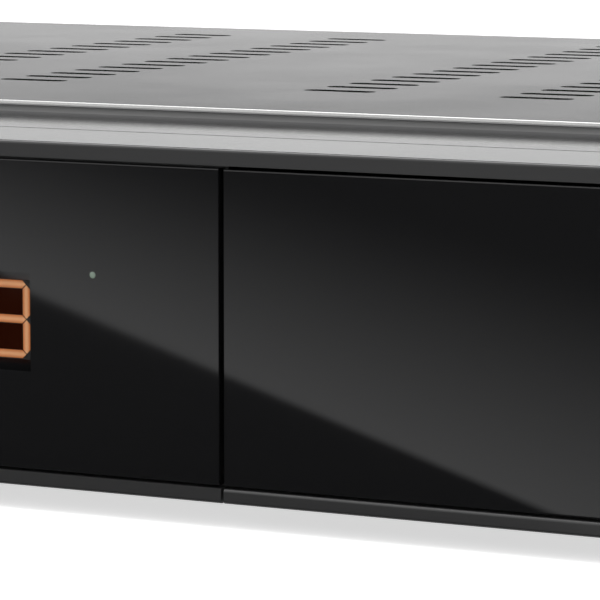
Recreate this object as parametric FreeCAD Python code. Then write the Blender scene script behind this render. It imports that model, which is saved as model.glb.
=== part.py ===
import FreeCAD, Part
import math
import os

# A set-top satellite receiver: steel case, plastic fascia with a drop-down flap, boards and sockets.
# Millimetres. X runs to the right seen from the front, Y to the rear, Z up. The origin is on the
# table, under the middle of the whole body.

os.makedirs("parts", exist_ok=True)
Vector = FreeCAD.Vector

# Overall case
bezel_width = 330.0
bezel_height = 56.0
bezel_lift = 4.0          # table to the lower edge of the fascia
body_depth = 262.0        # fascia front to the rear flange of the cover
cover_rise = 2.0          # cover top above the fascia top
cover_setback = 50.2      # cover's front edge behind the fascia front
aerial_reach = 11.0       # aerial connectors behind the rear flange
cover_inset = 1.0         # cover ends inside the fascia ends
cover_sheet = 0.8
tray_sheet = 0.8
tray_lift = 5.0           # table to the underside of the tray
side_play = 0.3           # tray inside the cover, each side
cover_bend = 1.2          # inside radius of the cover's long bends
cover_edge_round = 0.15
cover_side_gap = 0.6      # cover's lower edge above the tray's underside
cover_flange_gap = 0.2    # cut face of the rear flange

tray_bend = 1.5
tray_front_flange = 10.5
tray_side_flange = 12.0
tray_rear_flange = 8.0
tray_corner_cut = 1.6     # corner notches, longer than the sheet
rear_panel_fold = 7.0
rear_panel_top_play = 0.2
cutter_depth = 6.0        # depth of the tools that cut sheet
tray_vent_columns = (-44.0, 0.0, 44.0, 88.0)
tray_vent_rows = 9
tray_vent_first = 104.0   # first bottom slot behind the fascia front
tray_vent_pitch = 12.0
tray_vent_length = 24.0
tray_vent_width = 3.6
boss_radius = 3.4
boss_length = 14.0
fascia_screw_radius = 1.2
fascia_screw_length = 8.0
fascia_screw_inset = 22.0     # outer fascia screw from the tray's end
fascia_screw_offsets = (-105.0, -12.0, 55.0)   # the others from the seam
cover_rear_flange = 8.0
cover_screw_inset = (86.0, 40.0)   # from the fascia front and from the rear
cover_screw_z = 12.0
cover_screw_length = 6.0
rear_screw_inset = 9.0    # outer rear screws from the ends of the cover
rear_screw_drop = 5.0     # below the cover top

# Fascia moulding
land_depth = 21.7         # flat top behind the front edge
groove_width = 0.6
groove_depth = 0.5
tongue_length = 9.0       # rear of the fascia, under the cover
tongue_step = 1.0         # cover's edge overhangs the step up to the tongue
tongue_wall = 2.0
tongue_play = 0.15
lip_height = 2.6          # strip above the glossy face
sill_height = 2.4         # strip below the glossy face
front_end_wall = 3.0
rear_wall = 2.2
flap_end_wall = 3.5
carrier_wall = 2.0        # wall behind the window
cheek_width = 2.5         # wall between window and flap recess
bezel_edge_round = 0.5
bezel_corner_round = 1.5
plate_edge_round = 0.3
recess_wall_gap = 2.0     # from the recess panel to the hollow behind it
boss_rib = 2.0

# Window and flap
flap_span = 108.0         # seam to the right end of the fascia
seam_gap = 1.0
plate_gap = 0.4           # dark line around the glossy plates
window_inset = 0.3
window_thickness = 2.6
flap_panel_thickness = 2.3
flap_skin = 2.0
flap_shelf_depth = 7.4
flap_rib = 1.5
flap_rib_depth = 2.4
flap_top_gap = 0.5
flap_well = 10.8          # clear space behind the front for the turning flap
pivot_back = 4.2          # hinge axis behind the front face
pivot_up = 4.2            # hinge axis above the lower edge
pin_radius = 1.25
pin_play = 0.05
pin_in_flap = 4.5
pin_in_wall = 2.5
ear_radius = 3.2
ear_length = 5.0
rib_lift = 1.0            # ribs and ears above the flap's lower edge
stiffener_shares = (0.25, 0.75)
stiffener_foot = 10.0
magnet_ring = 1.0         # wall around the magnet
magnet_ring_inset = 0.5
pin_end_play = 0.3
magnet_radius = 3.0
magnet_thickness = 2.0
magnet_play = 0.3
catch_z = 51.0
catch_head_thickness = 1.0
catch_head_radius = 3.6
catch_shank_radius = 2.4

# Recess behind the flap
recess_panel_y = 13.0     # front of the recess panel behind the fascia front
recess_panel_thickness = 2.0
key_play = 0.3
key_travel = 0.5
key_proud = 2.8
key_edge = 0.6
key_dish = (1.8, 0.4)
ok_key_radius = 4.2
arrow_key_long = 11.0
arrow_key_short = 5.4
arrow_key_offset = 10.6
key_cluster_offset = 80.0     # middle of the keys from the seam
key_cluster_z = 36.0
key_flange = 0.9          # flange wider than the cap, each side
key_flange_thickness = 1.0
key_stem_radius = 1.5
key_board_y = 29.5        # front of the key board behind the fascia front
key_board_offsets = (65.0, 95.3)   # its ends from the seam
key_board_z = (8.0, 52.5)
panel_joint_offset = 64.0     # joint between slot panel and key panel from the seam
panel_joint_gap = 0.2
key_post_inset = 2.6
key_post_low_z = 20.5
post_radius = 2.4
board_screw_radius = 0.9
board_screw_length = 4.0
board_screw_hole = 1.1
board_head = (2.0, 0.6, 1.4, 1.1)   # radius, rim, flat radius, height
key_corner = 1.6
body_corner = 0.5

# Standby key and display
standby_inset = 22.0      # from the left end of the fascia
standby_z = 32.0
standby_radius = 6.0
display_board_y = 11.5
display_board_insets = (7.0, 6.0)   # from the left end and from the seam
display_post_inset = 3.4
display_post_offset = 104.0   # middle posts left of the seam
display_board_z = (12.0, 52.0)
board_thickness = 1.6
digit_count = 4
digit_pitch = 12.7
digit_height = 12.7
digit_width = 7.6
segment_width = 1.3
segment_gap = 0.25
segment_proud = 0.15
last_digit_offset = 40.05     # last digit left of the seam
digit_z = 30.7
display_size = (50.3, 19.0)
display_play = 0.2
led_offset = 24.7         # left of the seam
led_z = 39.0
led_radius = 1.5
led_rim = 0.4
led_rim_height = 2.0
infrared_inset = 55.0     # from the left end of the fascia
infrared_z = 32.0
infrared_radius = 3.0
infrared_gap = 0.4
infrared_eye = 2.6
infrared_body = (6.0, 7.0)
infrared_eye_reach = 1.6

# Tactile switches
tact_size = 6.0
tact_height = 3.5
plunger_radius = 1.7
plunger_height = 1.2
plunger_clear = 0.05      # left between key stem and plunger at full travel

# Card slots
module_slot_width = 55.0
module_slot_height = 5.8
module_slot_depth = 62.0
module_slot_z = (22.2, 33.0)
card_cage_offset = 33.0   # middle of the slots from the seam
card_cage_wall = 1.0
card_side_wall = 1.8
card_cage_width = 58.6
card_cage_depth = 75.0
card_cage_z = (17.0, 38.4)
smart_slot_width = 55.0
smart_slot_height = 1.6
smart_body_height = 5.0
smart_body_depth = 52.0
smart_slot_end = 6.0      # closed rear of the reader
smart_window = (30.0, 28.0)   # contact window in its top
smart_window_back = 12.0
module_pins = (48.0, 7.0, 2.6)
cage_leg = 5.0
cage_leg_inset = 3.0
slot_frame = 1.2          # raised frame around each slot
slot_frame_proud = 0.8

# USB sockets
usb_width = 13.2
usb_height = 5.8
usb_depth = 14.0
usb_wall = 0.4
usb_tongue = 1.9
usb_front_z = 14.0
usb_closed_end = 3.0
usb_tongue_inset = 1.5
usb_tongue_gap = (1.2, 0.5)   # narrower than the shell, and below its top

# Boards
standoff_height = 6.0
standoff_radius = 3.0
board_end_gap = 5.7       # boards from the ends of the tray
board_gap = 6.0           # between the two boards
main_board_front = 62.0   # behind the fascia front
board_rear_play = 1.0
power_board_size = (65.0, 155.0)
main_post_rear = 62.0     # rear posts in front of each board's rear edge
power_post_rear = 25.0
screw_radius = 1.5
screw_head_radius = 2.8
screw_head_height = 1.6
screw_head_rim = 1.0
screw_head_flat = 2.0
cover_head_height = 0.9
board_screw_inset = 5.0
processor_x = 6.0
processor_back = 168.0    # behind the fascia front
processor_size = 35.0
processor_height = 2.4
sink_base = 2.0
sink_height = 12.0
sink_width = 38.0
sink_fins = 9
sink_fin = 1.4

small_chips = ((-48.0, -12.0, (12.0, 18.0, 1.2)), (-48.0, 12.0, (12.0, 18.0, 1.2)),
               (44.0, -30.0, (14.0, 14.0, 1.2)), (50.0, 8.0, (10.0, 8.0, 1.5)))
can_edge = 0.6
small_can = (4.0, 11.0)
# from the main board's front left corner
small_can_places = ((14.0, 24.0), (14.0, 38.0), (26.0, 24.0), (62.0, 40.0))

# Power supply, with places from the middle of the board's rear edge
medium_can = (5.0, 20.0)
medium_can_places = ((-24.0, 125.0), (-12.0, 125.0), (0.0, 125.0))
large_can = (9.0, 32.0)
large_can_place = (-20.0, 63.0)
transformer_place = (4.0, 81.0)
transformer_core = (30.0, 26.0, 20.0)
winding_size = (30.0, 14.0, 4.0)      # width, depth, rise above the core
bobbin_size = (34.0, 20.0, 5.5)
power_sink_ahead = 105.0
power_sink_size = (46.0, 9.0, 26.0)
power_sink_plate = 2.0
transistor_size = (10.2, 4.6, 16.0)
transistor_lift = 3.0
choke_place = (12.0, 44.0)
choke_base = (20.0, 20.0, 2.0)
choke_ring = (9.5, 4.0, 15.0)         # radius, bore radius, height
fuse_place = (-26.0, 52.0)
fuse_length = 20.0
fuse_radius = 2.6
fuse_lift = 4.2
fuse_clip = (6.4, 4.0, 4.2)

# Leads inside
ribbon_from_seam = 62.0
ribbon_width = 18.0
ribbon_thickness = 0.8
ribbon_inset = 8.0        # behind the main board's front edge
header_size = (22.0, 6.0, 6.0)
header_z = 26.0
key_ribbon_offset = 10.0
key_ribbon_width = 7.0
key_ribbon_z = 30.0
supply_lead_back = 14.0
supply_lead_inset = 7.0
supply_lead_rise = 8.0
supply_lead_width = 10.0
supply_lead_thickness = 1.6
mains_lead_size = 1.8
mains_lead_bend = 3.0

# Rear sockets
rear_hole_play = 0.3
snap_play = 0.1
socket_proud = 0.7
tuner_corner = 0.8
tuner_inset = 33.0        # from the right end of the cover
tuner_size = (44.0, 52.0, 15.0)
aerial_spacing = 24.0
aerial_z = 22.0
aerial_radius = 4.75
aerial_hole = 1.0
aerial_nut_reach = 6.35
aerial_nut_depth = 2.0
aerial_mouth = (3.6, 3.0) # radius and depth of the open end
aerial_insert_inset = 0.8
serial_inset = 73.0       # from the right end of the cover
serial_z = 22.0
serial_shell = (16.8, 8.2)
serial_corner = 2.2
serial_reach = 5.6
serial_flange = (31.0, 12.4, 1.0)
serial_body = (19.0, 8.0, 10.6)
serial_foot = 3.0
serial_pitch = 2.76
serial_row_rise = 1.42
serial_hole = (0.6, 3.0)
post_spacing = 25.0
post_reach = 2.9
post_length = 5.0
post_bore = 1.42
post_floor = 0.5
hdmi_x = 44.0
hdmi_size = (15.0, 11.5, 6.0)
hdmi_wall = 0.5
hdmi_chamfer = 1.6
hdmi_deep = 8.0
hdmi_tongue = (4.0, 1.2, 1.2)     # narrower than the shell, set back, thickness
lan_x = 20.0
lan_size = (16.2, 18.0, 13.6)
lan_port = (11.8, 8.0, 12.0)
lan_port_lift = 2.2
lan_latch = (6.2, 1.4)
rear_usb_x = 0.0
rca_x = -28.0
rca_spacing = 13.0
rca_size = (40.0, 12.0, 14.0)
rca_radius = 4.15
rca_reach = 8.5
rca_z = 22.0
rca_wall = 0.5
rca_collar = (0.9, 1.6)   # wider than the barrel, and its reach
rca_core_inset = 0.4
rca_bore = 1.6
optical_x = -62.0
optical_size = (10.0, 13.0, 10.6)
optical_port = (6.4, 1.4)
optical_corner = 1.0
inlet_inset = 23.0        # from the left end of the cover
inlet_z = 26.0
inlet_depth = 14.0
inlet_lobe = 4.6
inlet_pitch = 8.6
inlet_pin_radius = 1.2
inlet_pin_tail = 3.0
inlet_wall = 1.2
inlet_rim = 2.8
inlet_flange = 1.8
inlet_floor = 2.0
inlet_web = 6.4
switch_inset = 51.0       # from the left end of the cover
switch_z = 26.0
switch_size = (19.0, 13.0)
switch_depth = 15.0
switch_wall = 1.2
switch_rim = 1.5
switch_flange = 1.8
switch_well = 11.0
switch_tab = (0.8, 6.0, 4.8)
switch_tab_places = (-6.0, 0.0, 6.0)
rocker_pin_radius = 1.2
rocker_rise = 1.2         # middle of the rocker above the panel
rocker_tip_rise = 1.6
rocker_taper = 0.8
rocker_skirt = 3.0
rocker_swing = 20.0       # degrees between off and on
rocker_pivot_back = 4.0   # rocker axis, inside the panel's outer face
rocker_play = 0.3
rocker_tip_play = 1.1     # room for the tips to swing in the well

# Feet
foot_radius = 9.5
foot_edge = 1.0
foot_well = (4.0, 2.6)    # radius and height of the screw well
foot_screw_reach = 4.0
foot_inset = 27.0         # from the ends of the cover
foot_front = 74.0         # behind the fascia front
foot_rear = 22.0          # in front of the rear flange

# Vents
vent_length = 14.0
vent_width = 3.6
vent_pitch = 9.4
vent_rows = 16
vent_first = 94.8         # first slot behind the fascia front
vent_columns = (-70.5, -32.0, 32.0, 70.5)
side_vent_length = 20.0
side_vent_width = 3.0
side_vent_pitch = 10.0
side_vent_rows = 12
side_vent_first = 104.0
side_vent_z = 36.0
rear_vent_columns = 9
rear_vent_first = -62.0
rear_vent_pitch = 14.0
rear_vent_z = 44.0
rear_vent_size = (14.0, 2.6)

# Planes worked out from the values above
overall_depth = body_depth + aerial_reach
face_y = -overall_depth / 2
rear_y = face_y + body_depth
bezel_end = bezel_width / 2
bezel_bottom = bezel_lift
bezel_top = bezel_bottom + bezel_height
cover_top = bezel_top + cover_rise
cover_under = cover_top - cover_sheet
cover_front = face_y + cover_setback
cover_end = bezel_end - cover_inset
tray_end = cover_end - cover_sheet - side_play
tongue_end = cover_front + tongue_length
seam_x = bezel_end - flap_span
window_back = face_y + window_inset + window_thickness
carrier_back = window_back + carrier_wall
opening_bottom = bezel_bottom + sill_height
opening_top = bezel_top - lip_height
cheek_right = seam_x
cheek_left = seam_x - cheek_width
flap_left = seam_x + seam_gap / 2
flap_right = bezel_end - flap_end_wall - seam_gap / 2
flap_front = face_y + window_inset
flap_skin_y = flap_front + flap_panel_thickness
flap_skin_back = flap_skin_y + flap_skin
flap_top = opening_top - flap_top_gap
flap_middle = (flap_left + flap_right) / 2
recess_front = face_y + recess_panel_y
recess_back = recess_front + recess_panel_thickness
pivot_y = face_y + pivot_back
pivot_z = bezel_bottom + pivot_up
board_z = tray_lift + tray_sheet + standoff_height
board_top = board_z + board_thickness
panel_out = rear_y - cover_sheet
panel_in = panel_out - tray_sheet
board_rear = panel_in - board_rear_play
power_board_x = (-tray_end + board_end_gap, -tray_end + board_end_gap + power_board_size[0])
power_front = board_rear - power_board_size[1]
power_middle_x = (power_board_x[0] + power_board_x[1]) / 2
power_sink_y = board_rear - power_sink_ahead
ribbon_x = seam_x - ribbon_from_seam
main_board_x = (power_board_x[1] + board_gap, tray_end - board_end_gap)
standby_x = -bezel_end + standby_inset
infrared_x = -bezel_end + infrared_inset
display_board_x = (-bezel_end + display_board_insets[0], seam_x - display_board_insets[1])
last_digit_x = seam_x - last_digit_offset
led_x = seam_x - led_offset
card_cage_x = seam_x + card_cage_offset
key_cluster_x = seam_x + key_cluster_offset
key_board_x = (seam_x + key_board_offsets[0], seam_x + key_board_offsets[1])
panel_joint_x = seam_x + panel_joint_offset
tuner_x = cover_end - tuner_inset
serial_x = cover_end - serial_inset
inlet_x = -cover_end + inlet_inset
switch_x = -cover_end + switch_inset
foot_x = cover_end - foot_inset
rear_screw_x = (-cover_end + rear_screw_inset, serial_x, cover_end - rear_screw_inset)
fascia_screw_x = [-tray_end + fascia_screw_inset] + [seam_x + step for step in fascia_screw_offsets]
key_rest_gap = plunger_clear + key_travel
boss_z = opening_bottom + boss_radius
cover_screw_y = (face_y + cover_screw_inset[0], rear_y - cover_screw_inset[1])
rear_screw_z = cover_top - rear_screw_drop
processor_y = face_y + processor_back


# Shape helpers
def block(x, y, z):
    """A box between pairs of limits."""
    return Part.makeBox(x[1] - x[0], y[1] - y[0], z[1] - z[0], Vector(x[0], y[0], z[0]))


def rod(start, end, radius):
    """A round bar between two points."""
    a = Vector(*start)
    b = Vector(*end)
    return Part.makeCylinder(radius, (b - a).Length, a, b - a)


def around(middle, size):
    """A pair of limits about a middle."""
    return (middle - size / 2, middle + size / 2)


def fused(shapes):
    return shapes[0].multiFuse(shapes[1:]).removeSplitter()


def less(shape, tools):
    return shape.cut(tools).removeSplitter()


def edges_along(shape, axis, keep):
    """Straight edges parallel to an axis whose middle passes a test."""
    found = []
    for edge in shape.Edges:
        if len(edge.Vertexes) != 2:
            continue
        span = edge.Vertexes[1].Point - edge.Vertexes[0].Point
        if abs(span.dot(axis)) > 0.999 * edge.Length > 0 and keep(edge.CenterOfMass):
            found.append(edge)
    return found


def rounded(shape, radius, axis, keep=lambda point: True):
    return shape.makeFillet(radius, edges_along(shape, axis, keep))


along_x = Vector(1, 0, 0)
along_y = Vector(0, 1, 0)
along_z = Vector(0, 0, 1)


def side_prism(points, x):
    """A polygon of (y, z) points drawn out along X."""
    corners = [Vector(x[0], y, z) for y, z in points]
    face = Part.Face(Part.makePolygon(corners + corners[:1]))
    return face.extrude(Vector(x[1] - x[0], 0, 0))


def stadium(middle, length, width, depth, long_axis, through_axis):
    """A round-ended bar: its long way, width and drawn depth."""
    half = (length - width) / 2
    start = Vector(*middle) - through_axis * (depth / 2)
    a = start - long_axis * half
    b = start + long_axis * half
    across = through_axis.cross(long_axis) * (width / 2)
    right = Part.Arc(b - across, b + long_axis * (width / 2), b + across).toShape()
    left = Part.Arc(a + across, a - long_axis * (width / 2), a - across).toShape()
    top = Part.LineSegment(b + across, a + across).toShape()
    bottom = Part.LineSegment(a - across, b - across).toShape()
    outline = Part.Wire([right, top, left, bottom])
    return Part.Face(outline).extrude(through_axis * depth)


def turned(points, centre, axis):
    """A profile of (radius, height) points turned about an axis through a centre."""
    corners = [Vector(radius, 0, height) for radius, height in points]
    face = Part.Face(Part.makePolygon(corners + corners[:1]))
    solid = face.revolve(Vector(0, 0, 0), along_z, 360)
    solid.Placement = FreeCAD.Placement(Vector(*centre), FreeCAD.Rotation(along_z, axis))
    return solid


def save(name, shapes):
    """Write one node: a solid, or several separate solids."""
    pieces = shapes if isinstance(shapes, list) else [shapes]
    solids = [solid for piece in pieces for solid in piece.Solids]
    for solid in solids:
        if not solid.isValid() or solid.Volume <= 0:
            raise ValueError(name + " is not a sound solid")
    shape = solids[0] if len(solids) == 1 else Part.makeCompound(solids)
    shape.exportStep("parts/" + name + ".step")


# Case
def pan_profile():
    """The (radius, height) profile of a pan head, its seat at height 0."""
    return [(0, 0), (screw_head_radius, 0), (screw_head_radius, screw_head_rim),
            (screw_head_flat, screw_head_height), (0, screw_head_height)]


def screw_up(x, y, z, length):
    """A pan-head screw, head at the top, its seat at z."""
    head = turned(pan_profile(), (x, y, z), along_z)
    return fused([head, rod((x, y, z - length), (x, y, z), screw_radius)])


def foot_places():
    return [(x, y) for x in (-foot_x, foot_x) for y in (face_y + foot_front, rear_y - foot_rear)]


def standoff_places():
    inset = board_screw_inset
    main_y = (face_y + main_board_front + inset, board_rear - main_post_rear)
    power_y = (power_front + inset, board_rear - power_post_rear)
    main = [(x, y) for x in (main_board_x[0] + inset, main_board_x[1] - inset) for y in main_y]
    power = [(x, y) for x in (power_board_x[0] + inset, power_board_x[1] - inset) for y in power_y]
    return main + power


def chassis_tray():
    outer = block((-tray_end, tray_end), (tongue_end, panel_in), (tray_lift, tray_lift + tray_side_flange))
    outer = rounded(outer, tray_bend, along_y, lambda p: p.z < tray_lift + 1)
    t = tray_sheet
    inner = block((-tray_end + t, tray_end - t), (tongue_end + t, panel_in - t),
                  (tray_lift + t, tray_lift + tray_side_flange + 1))
    inner = rounded(inner, tray_bend - t, along_y, lambda p: p.z < tray_lift + 2)
    tray = outer.cut(inner)
    low_front = block((-tray_end - 1, tray_end + 1), (tongue_end - 1, tongue_end + t),
                      (tray_lift + tray_front_flange, tray_lift + tray_side_flange + 1))
    low_rear = block((-tray_end - 1, tray_end + 1), (panel_in - t, panel_in + 1),
                     (tray_lift + tray_rear_flange, tray_lift + tray_side_flange + 1))
    tools = [low_front, low_rear]
    notch = t + tray_corner_cut
    high = (tray_lift + tray_rear_flange, tray_lift + tray_side_flange + 1)
    for x in (-tray_end - 1, tray_end + 1 - notch):
        for y in (tongue_end - 1, panel_in - t - 1):
            tools.append(block((x, x + notch), (y, y + t + 2), high))
    for x in fascia_screw_x:
        tools.append(rod((x, tongue_end - 1, boss_z), (x, tongue_end + 2, boss_z), screw_radius))
    for x, y in foot_places():
        tools.append(rod((x, y, tray_lift - 1), (x, y, tray_lift + 2), screw_radius))
    for x in (-tray_end - 1, tray_end - 2):
        for y in cover_screw_y:
            tools.append(rod((x, y, cover_screw_z), (x + 3, y, cover_screw_z), screw_radius))
    for column in tray_vent_columns:
        for row in range(tray_vent_rows):
            middle = (column, face_y + tray_vent_first + row * tray_vent_pitch, tray_lift)
            tools.append(stadium(middle, tray_vent_length, tray_vent_width, cutter_depth, along_x, along_z))
    save("chassis_tray", less(tray, tools))


def board_standoffs():
    pieces = []
    for x, y in standoff_places():
        base = tray_lift + tray_sheet
        post = rod((x, y, base), (x, y, board_z), standoff_radius)
        pieces.append(post.cut(rod((x, y, base - 1), (x, y, board_z + 1), screw_radius)))
    save("board_standoffs", pieces)


def pan_head_screws():
    """Board screws, and the self-tapping ones that hold the fascia to the tray's front flange."""
    length = board_thickness + standoff_height - 1
    pieces = [screw_up(x, y, board_top, length) for x, y in standoff_places()]
    seat = tongue_end + tray_sheet
    for x in fascia_screw_x:
        head = turned(pan_profile(), (x, seat, boss_z), along_y)
        shank = rod((x, seat - fascia_screw_length, boss_z), (x, seat, boss_z), fascia_screw_radius)
        pieces.append(fused([head, shank]))
    save("pan_head_screws", pieces)


def rubber_feet():
    """Round feet with a well for the screw head in the underside."""
    edge = foot_edge
    profile = [(screw_radius, foot_well[1]), (foot_well[0], foot_well[1]), (foot_well[0], 0),
               (foot_radius - edge, 0), (foot_radius, edge), (foot_radius - edge, tray_lift),
               (screw_radius, tray_lift)]
    save("rubber_feet", [turned(profile, (x, y, 0), along_z) for x, y in foot_places()])


def foot_screws():
    pieces = []
    seat = foot_well[1]
    profile = [(0, seat - screw_head_height), (screw_head_flat, seat - screw_head_height),
               (screw_head_radius, seat - screw_head_rim), (screw_head_radius, seat), (0, seat)]
    for x, y in foot_places():
        head = turned(profile, (x, y, 0), along_z)
        pieces.append(fused([head, rod((x, y, seat), (x, y, tray_lift + foot_screw_reach), screw_radius)]))
    return pieces


def rear_openings():
    """Cut-outs for everything that passes through the rear panel, and its flange where it reaches."""
    p = rear_hole_play
    y = (panel_in - 3, panel_out + 3)
    tools = []
    for side in (-1, 1):
        x = tuner_x + side * aerial_spacing / 2
        tools.append(rod((x, y[0], aerial_z), (x, y[1], aerial_z), aerial_radius + p))
    tools.append(block(around(serial_x, serial_shell[0] + 2 * p), y,
                       around(serial_z, serial_shell[1] + 2 * p)))
    on_board = ((hdmi_x, hdmi_size[0], hdmi_size[2]), (lan_x, lan_size[0], lan_size[2]),
                (rear_usb_x, usb_width, usb_height), (optical_x, optical_size[0], optical_size[2]))
    for x, width, height in on_board:
        tools.append(block(around(x, width + 2 * p), y, (board_top - p, board_top + height + p)))
    for x in phono_places():
        tools.append(rod((x, y[0], rca_z), (x, y[1], rca_z), rca_radius + rca_collar[0] + p))
    return tools


def panel_only_openings():
    y = (panel_in - 3, panel_out + 3)
    inlet = stadium((inlet_x, panel_out, inlet_z), 2 * (inlet_lobe + inlet_wall) + inlet_pitch,
                    2 * (inlet_lobe + inlet_wall), cutter_depth, along_x, along_y)
    play = 2 * snap_play
    switch = block(around(switch_x, switch_size[0] + play), y, around(switch_z, switch_size[1] + play))
    return [inlet, switch]


def rear_panel():
    top = cover_under - rear_panel_top_play
    t = tray_sheet
    fold_end = panel_out - rear_panel_fold
    profile = [(panel_out, tray_lift), (panel_out, top), (fold_end, top), (fold_end, top - t),
               (panel_in, top - t), (panel_in, tray_lift)]
    plate = side_prism(profile, (-tray_end, tray_end))
    plate = rounded(plate, cover_bend, along_y, lambda p: p.z > top - 0.1)
    tools = rear_openings() + panel_only_openings()
    for column in range(rear_vent_columns):
        middle = (rear_vent_first + column * rear_vent_pitch, panel_out, rear_vent_z)
        length, width = rear_vent_size
        tools.append(stadium(middle, length, width, cutter_depth, along_z, along_y))
    for x in rear_screw_x:
        tools.append(rod((x, panel_in - 1, rear_screw_z), (x, panel_out + 1, rear_screw_z), screw_radius))
    save("rear_panel", less(plate, tools))


def top_cover():
    bottom = tray_lift + cover_side_gap
    t = cover_sheet
    outer = block((-cover_end, cover_end), (cover_front, rear_y), (bottom, cover_top))
    outer = rounded(outer, cover_bend + t, along_y, lambda p: p.z > cover_top - 1)
    outer = rounded(outer, cover_edge_round, along_x, lambda p: p.z > cover_top - 1)
    inner = block((-cover_end + t, cover_end - t), (cover_front - 1, rear_y - t), (bottom - 1, cover_under))
    inner = rounded(inner, cover_bend, along_y, lambda p: p.z > cover_under - 1)
    tools = [inner]
    tools.append(block((-cover_end - 1, cover_end + 1), (rear_y - t - cover_flange_gap, rear_y + 1),
                       (bottom - 1, cover_top - cover_rear_flange)))
    for x in vent_columns:
        for row in range(vent_rows):
            y = face_y + vent_first + row * vent_pitch
            tools.append(stadium((x, y, cover_top), vent_length, vent_width, cutter_depth, along_x, along_z))
    for x in (-cover_end, cover_end):
        for row in range(side_vent_rows):
            y = face_y + side_vent_first + row * side_vent_pitch
            middle = (x, y, side_vent_z)
            tools.append(stadium(middle, side_vent_length, side_vent_width, cutter_depth, along_z, along_x))
        for y in cover_screw_y:
            tools.append(rod((x - 3, y, cover_screw_z), (x + 3, y, cover_screw_z), screw_radius))
    for x in rear_screw_x:
        tools.append(rod((x, rear_y - 3, rear_screw_z), (x, rear_y + 1, rear_screw_z), screw_radius))
    save("top_cover", less(outer, tools))


def case_screws():
    """The screws of the cover and of the feet."""
    pieces = foot_screws()
    low = cover_head_height
    flat = [(0, 0), (screw_head_radius, 0), (screw_head_radius, low / 2), (screw_head_flat, low), (0, low)]
    for side in (-1, 1):
        for y in cover_screw_y:
            head = turned(flat, (side * cover_end, y, cover_screw_z), along_x * side)
            shank = rod((side * cover_end, y, cover_screw_z),
                        (side * (cover_end - cover_screw_length), y, cover_screw_z), screw_radius)
            pieces.append(fused([head, shank]))
    for x in rear_screw_x:
        z = rear_screw_z
        head = turned(flat, (x, rear_y, z), along_y)
        pieces.append(fused([head, rod((x, rear_y - cover_screw_length, z), (x, rear_y, z), screw_radius)]))
    save("case_screws", pieces)


# Fascia
def at_front(point):
    """True for a point at the front face of the fascia."""
    return point.y < face_y + 1


def bezel_blank():
    """The side profile of the fascia: front, flat deck with its groove, and the tongue under the cover."""
    land_end = face_y + land_depth
    groove_end = land_end + groove_width
    groove_floor = bezel_top - groove_depth
    step_y = cover_front + tongue_step
    tongue_top = cover_under - tongue_play
    profile = [(face_y, bezel_bottom), (face_y, bezel_top), (land_end, bezel_top), (land_end, groove_floor),
               (groove_end, groove_floor), (groove_end, bezel_top), (step_y, bezel_top), (step_y, tongue_top),
               (tongue_end, tongue_top), (tongue_end, bezel_bottom)]
    blank = side_prism(profile, (-bezel_end, bezel_end))
    blank = rounded(blank, bezel_corner_round, along_z, at_front)
    return rounded(blank, bezel_edge_round, along_x, at_front)


def tongue_corner(side):
    """The slice taken off each upper corner of the tongue, to clear the bend in the cover."""
    top = cover_under - tongue_play + 0.1
    out = side * (tray_end + 0.1)
    size = cover_bend + 0.1
    corners = [Vector(out, cover_front, top), Vector(out - side * size, cover_front, top),
               Vector(out, cover_front, top - size)]
    face = Part.Face(Part.makePolygon(corners + corners[:1]))
    return face.extrude(Vector(0, tongue_length + 1, 0))


def window_span():
    return (-bezel_end + front_end_wall, flap_left - seam_gap)


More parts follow.
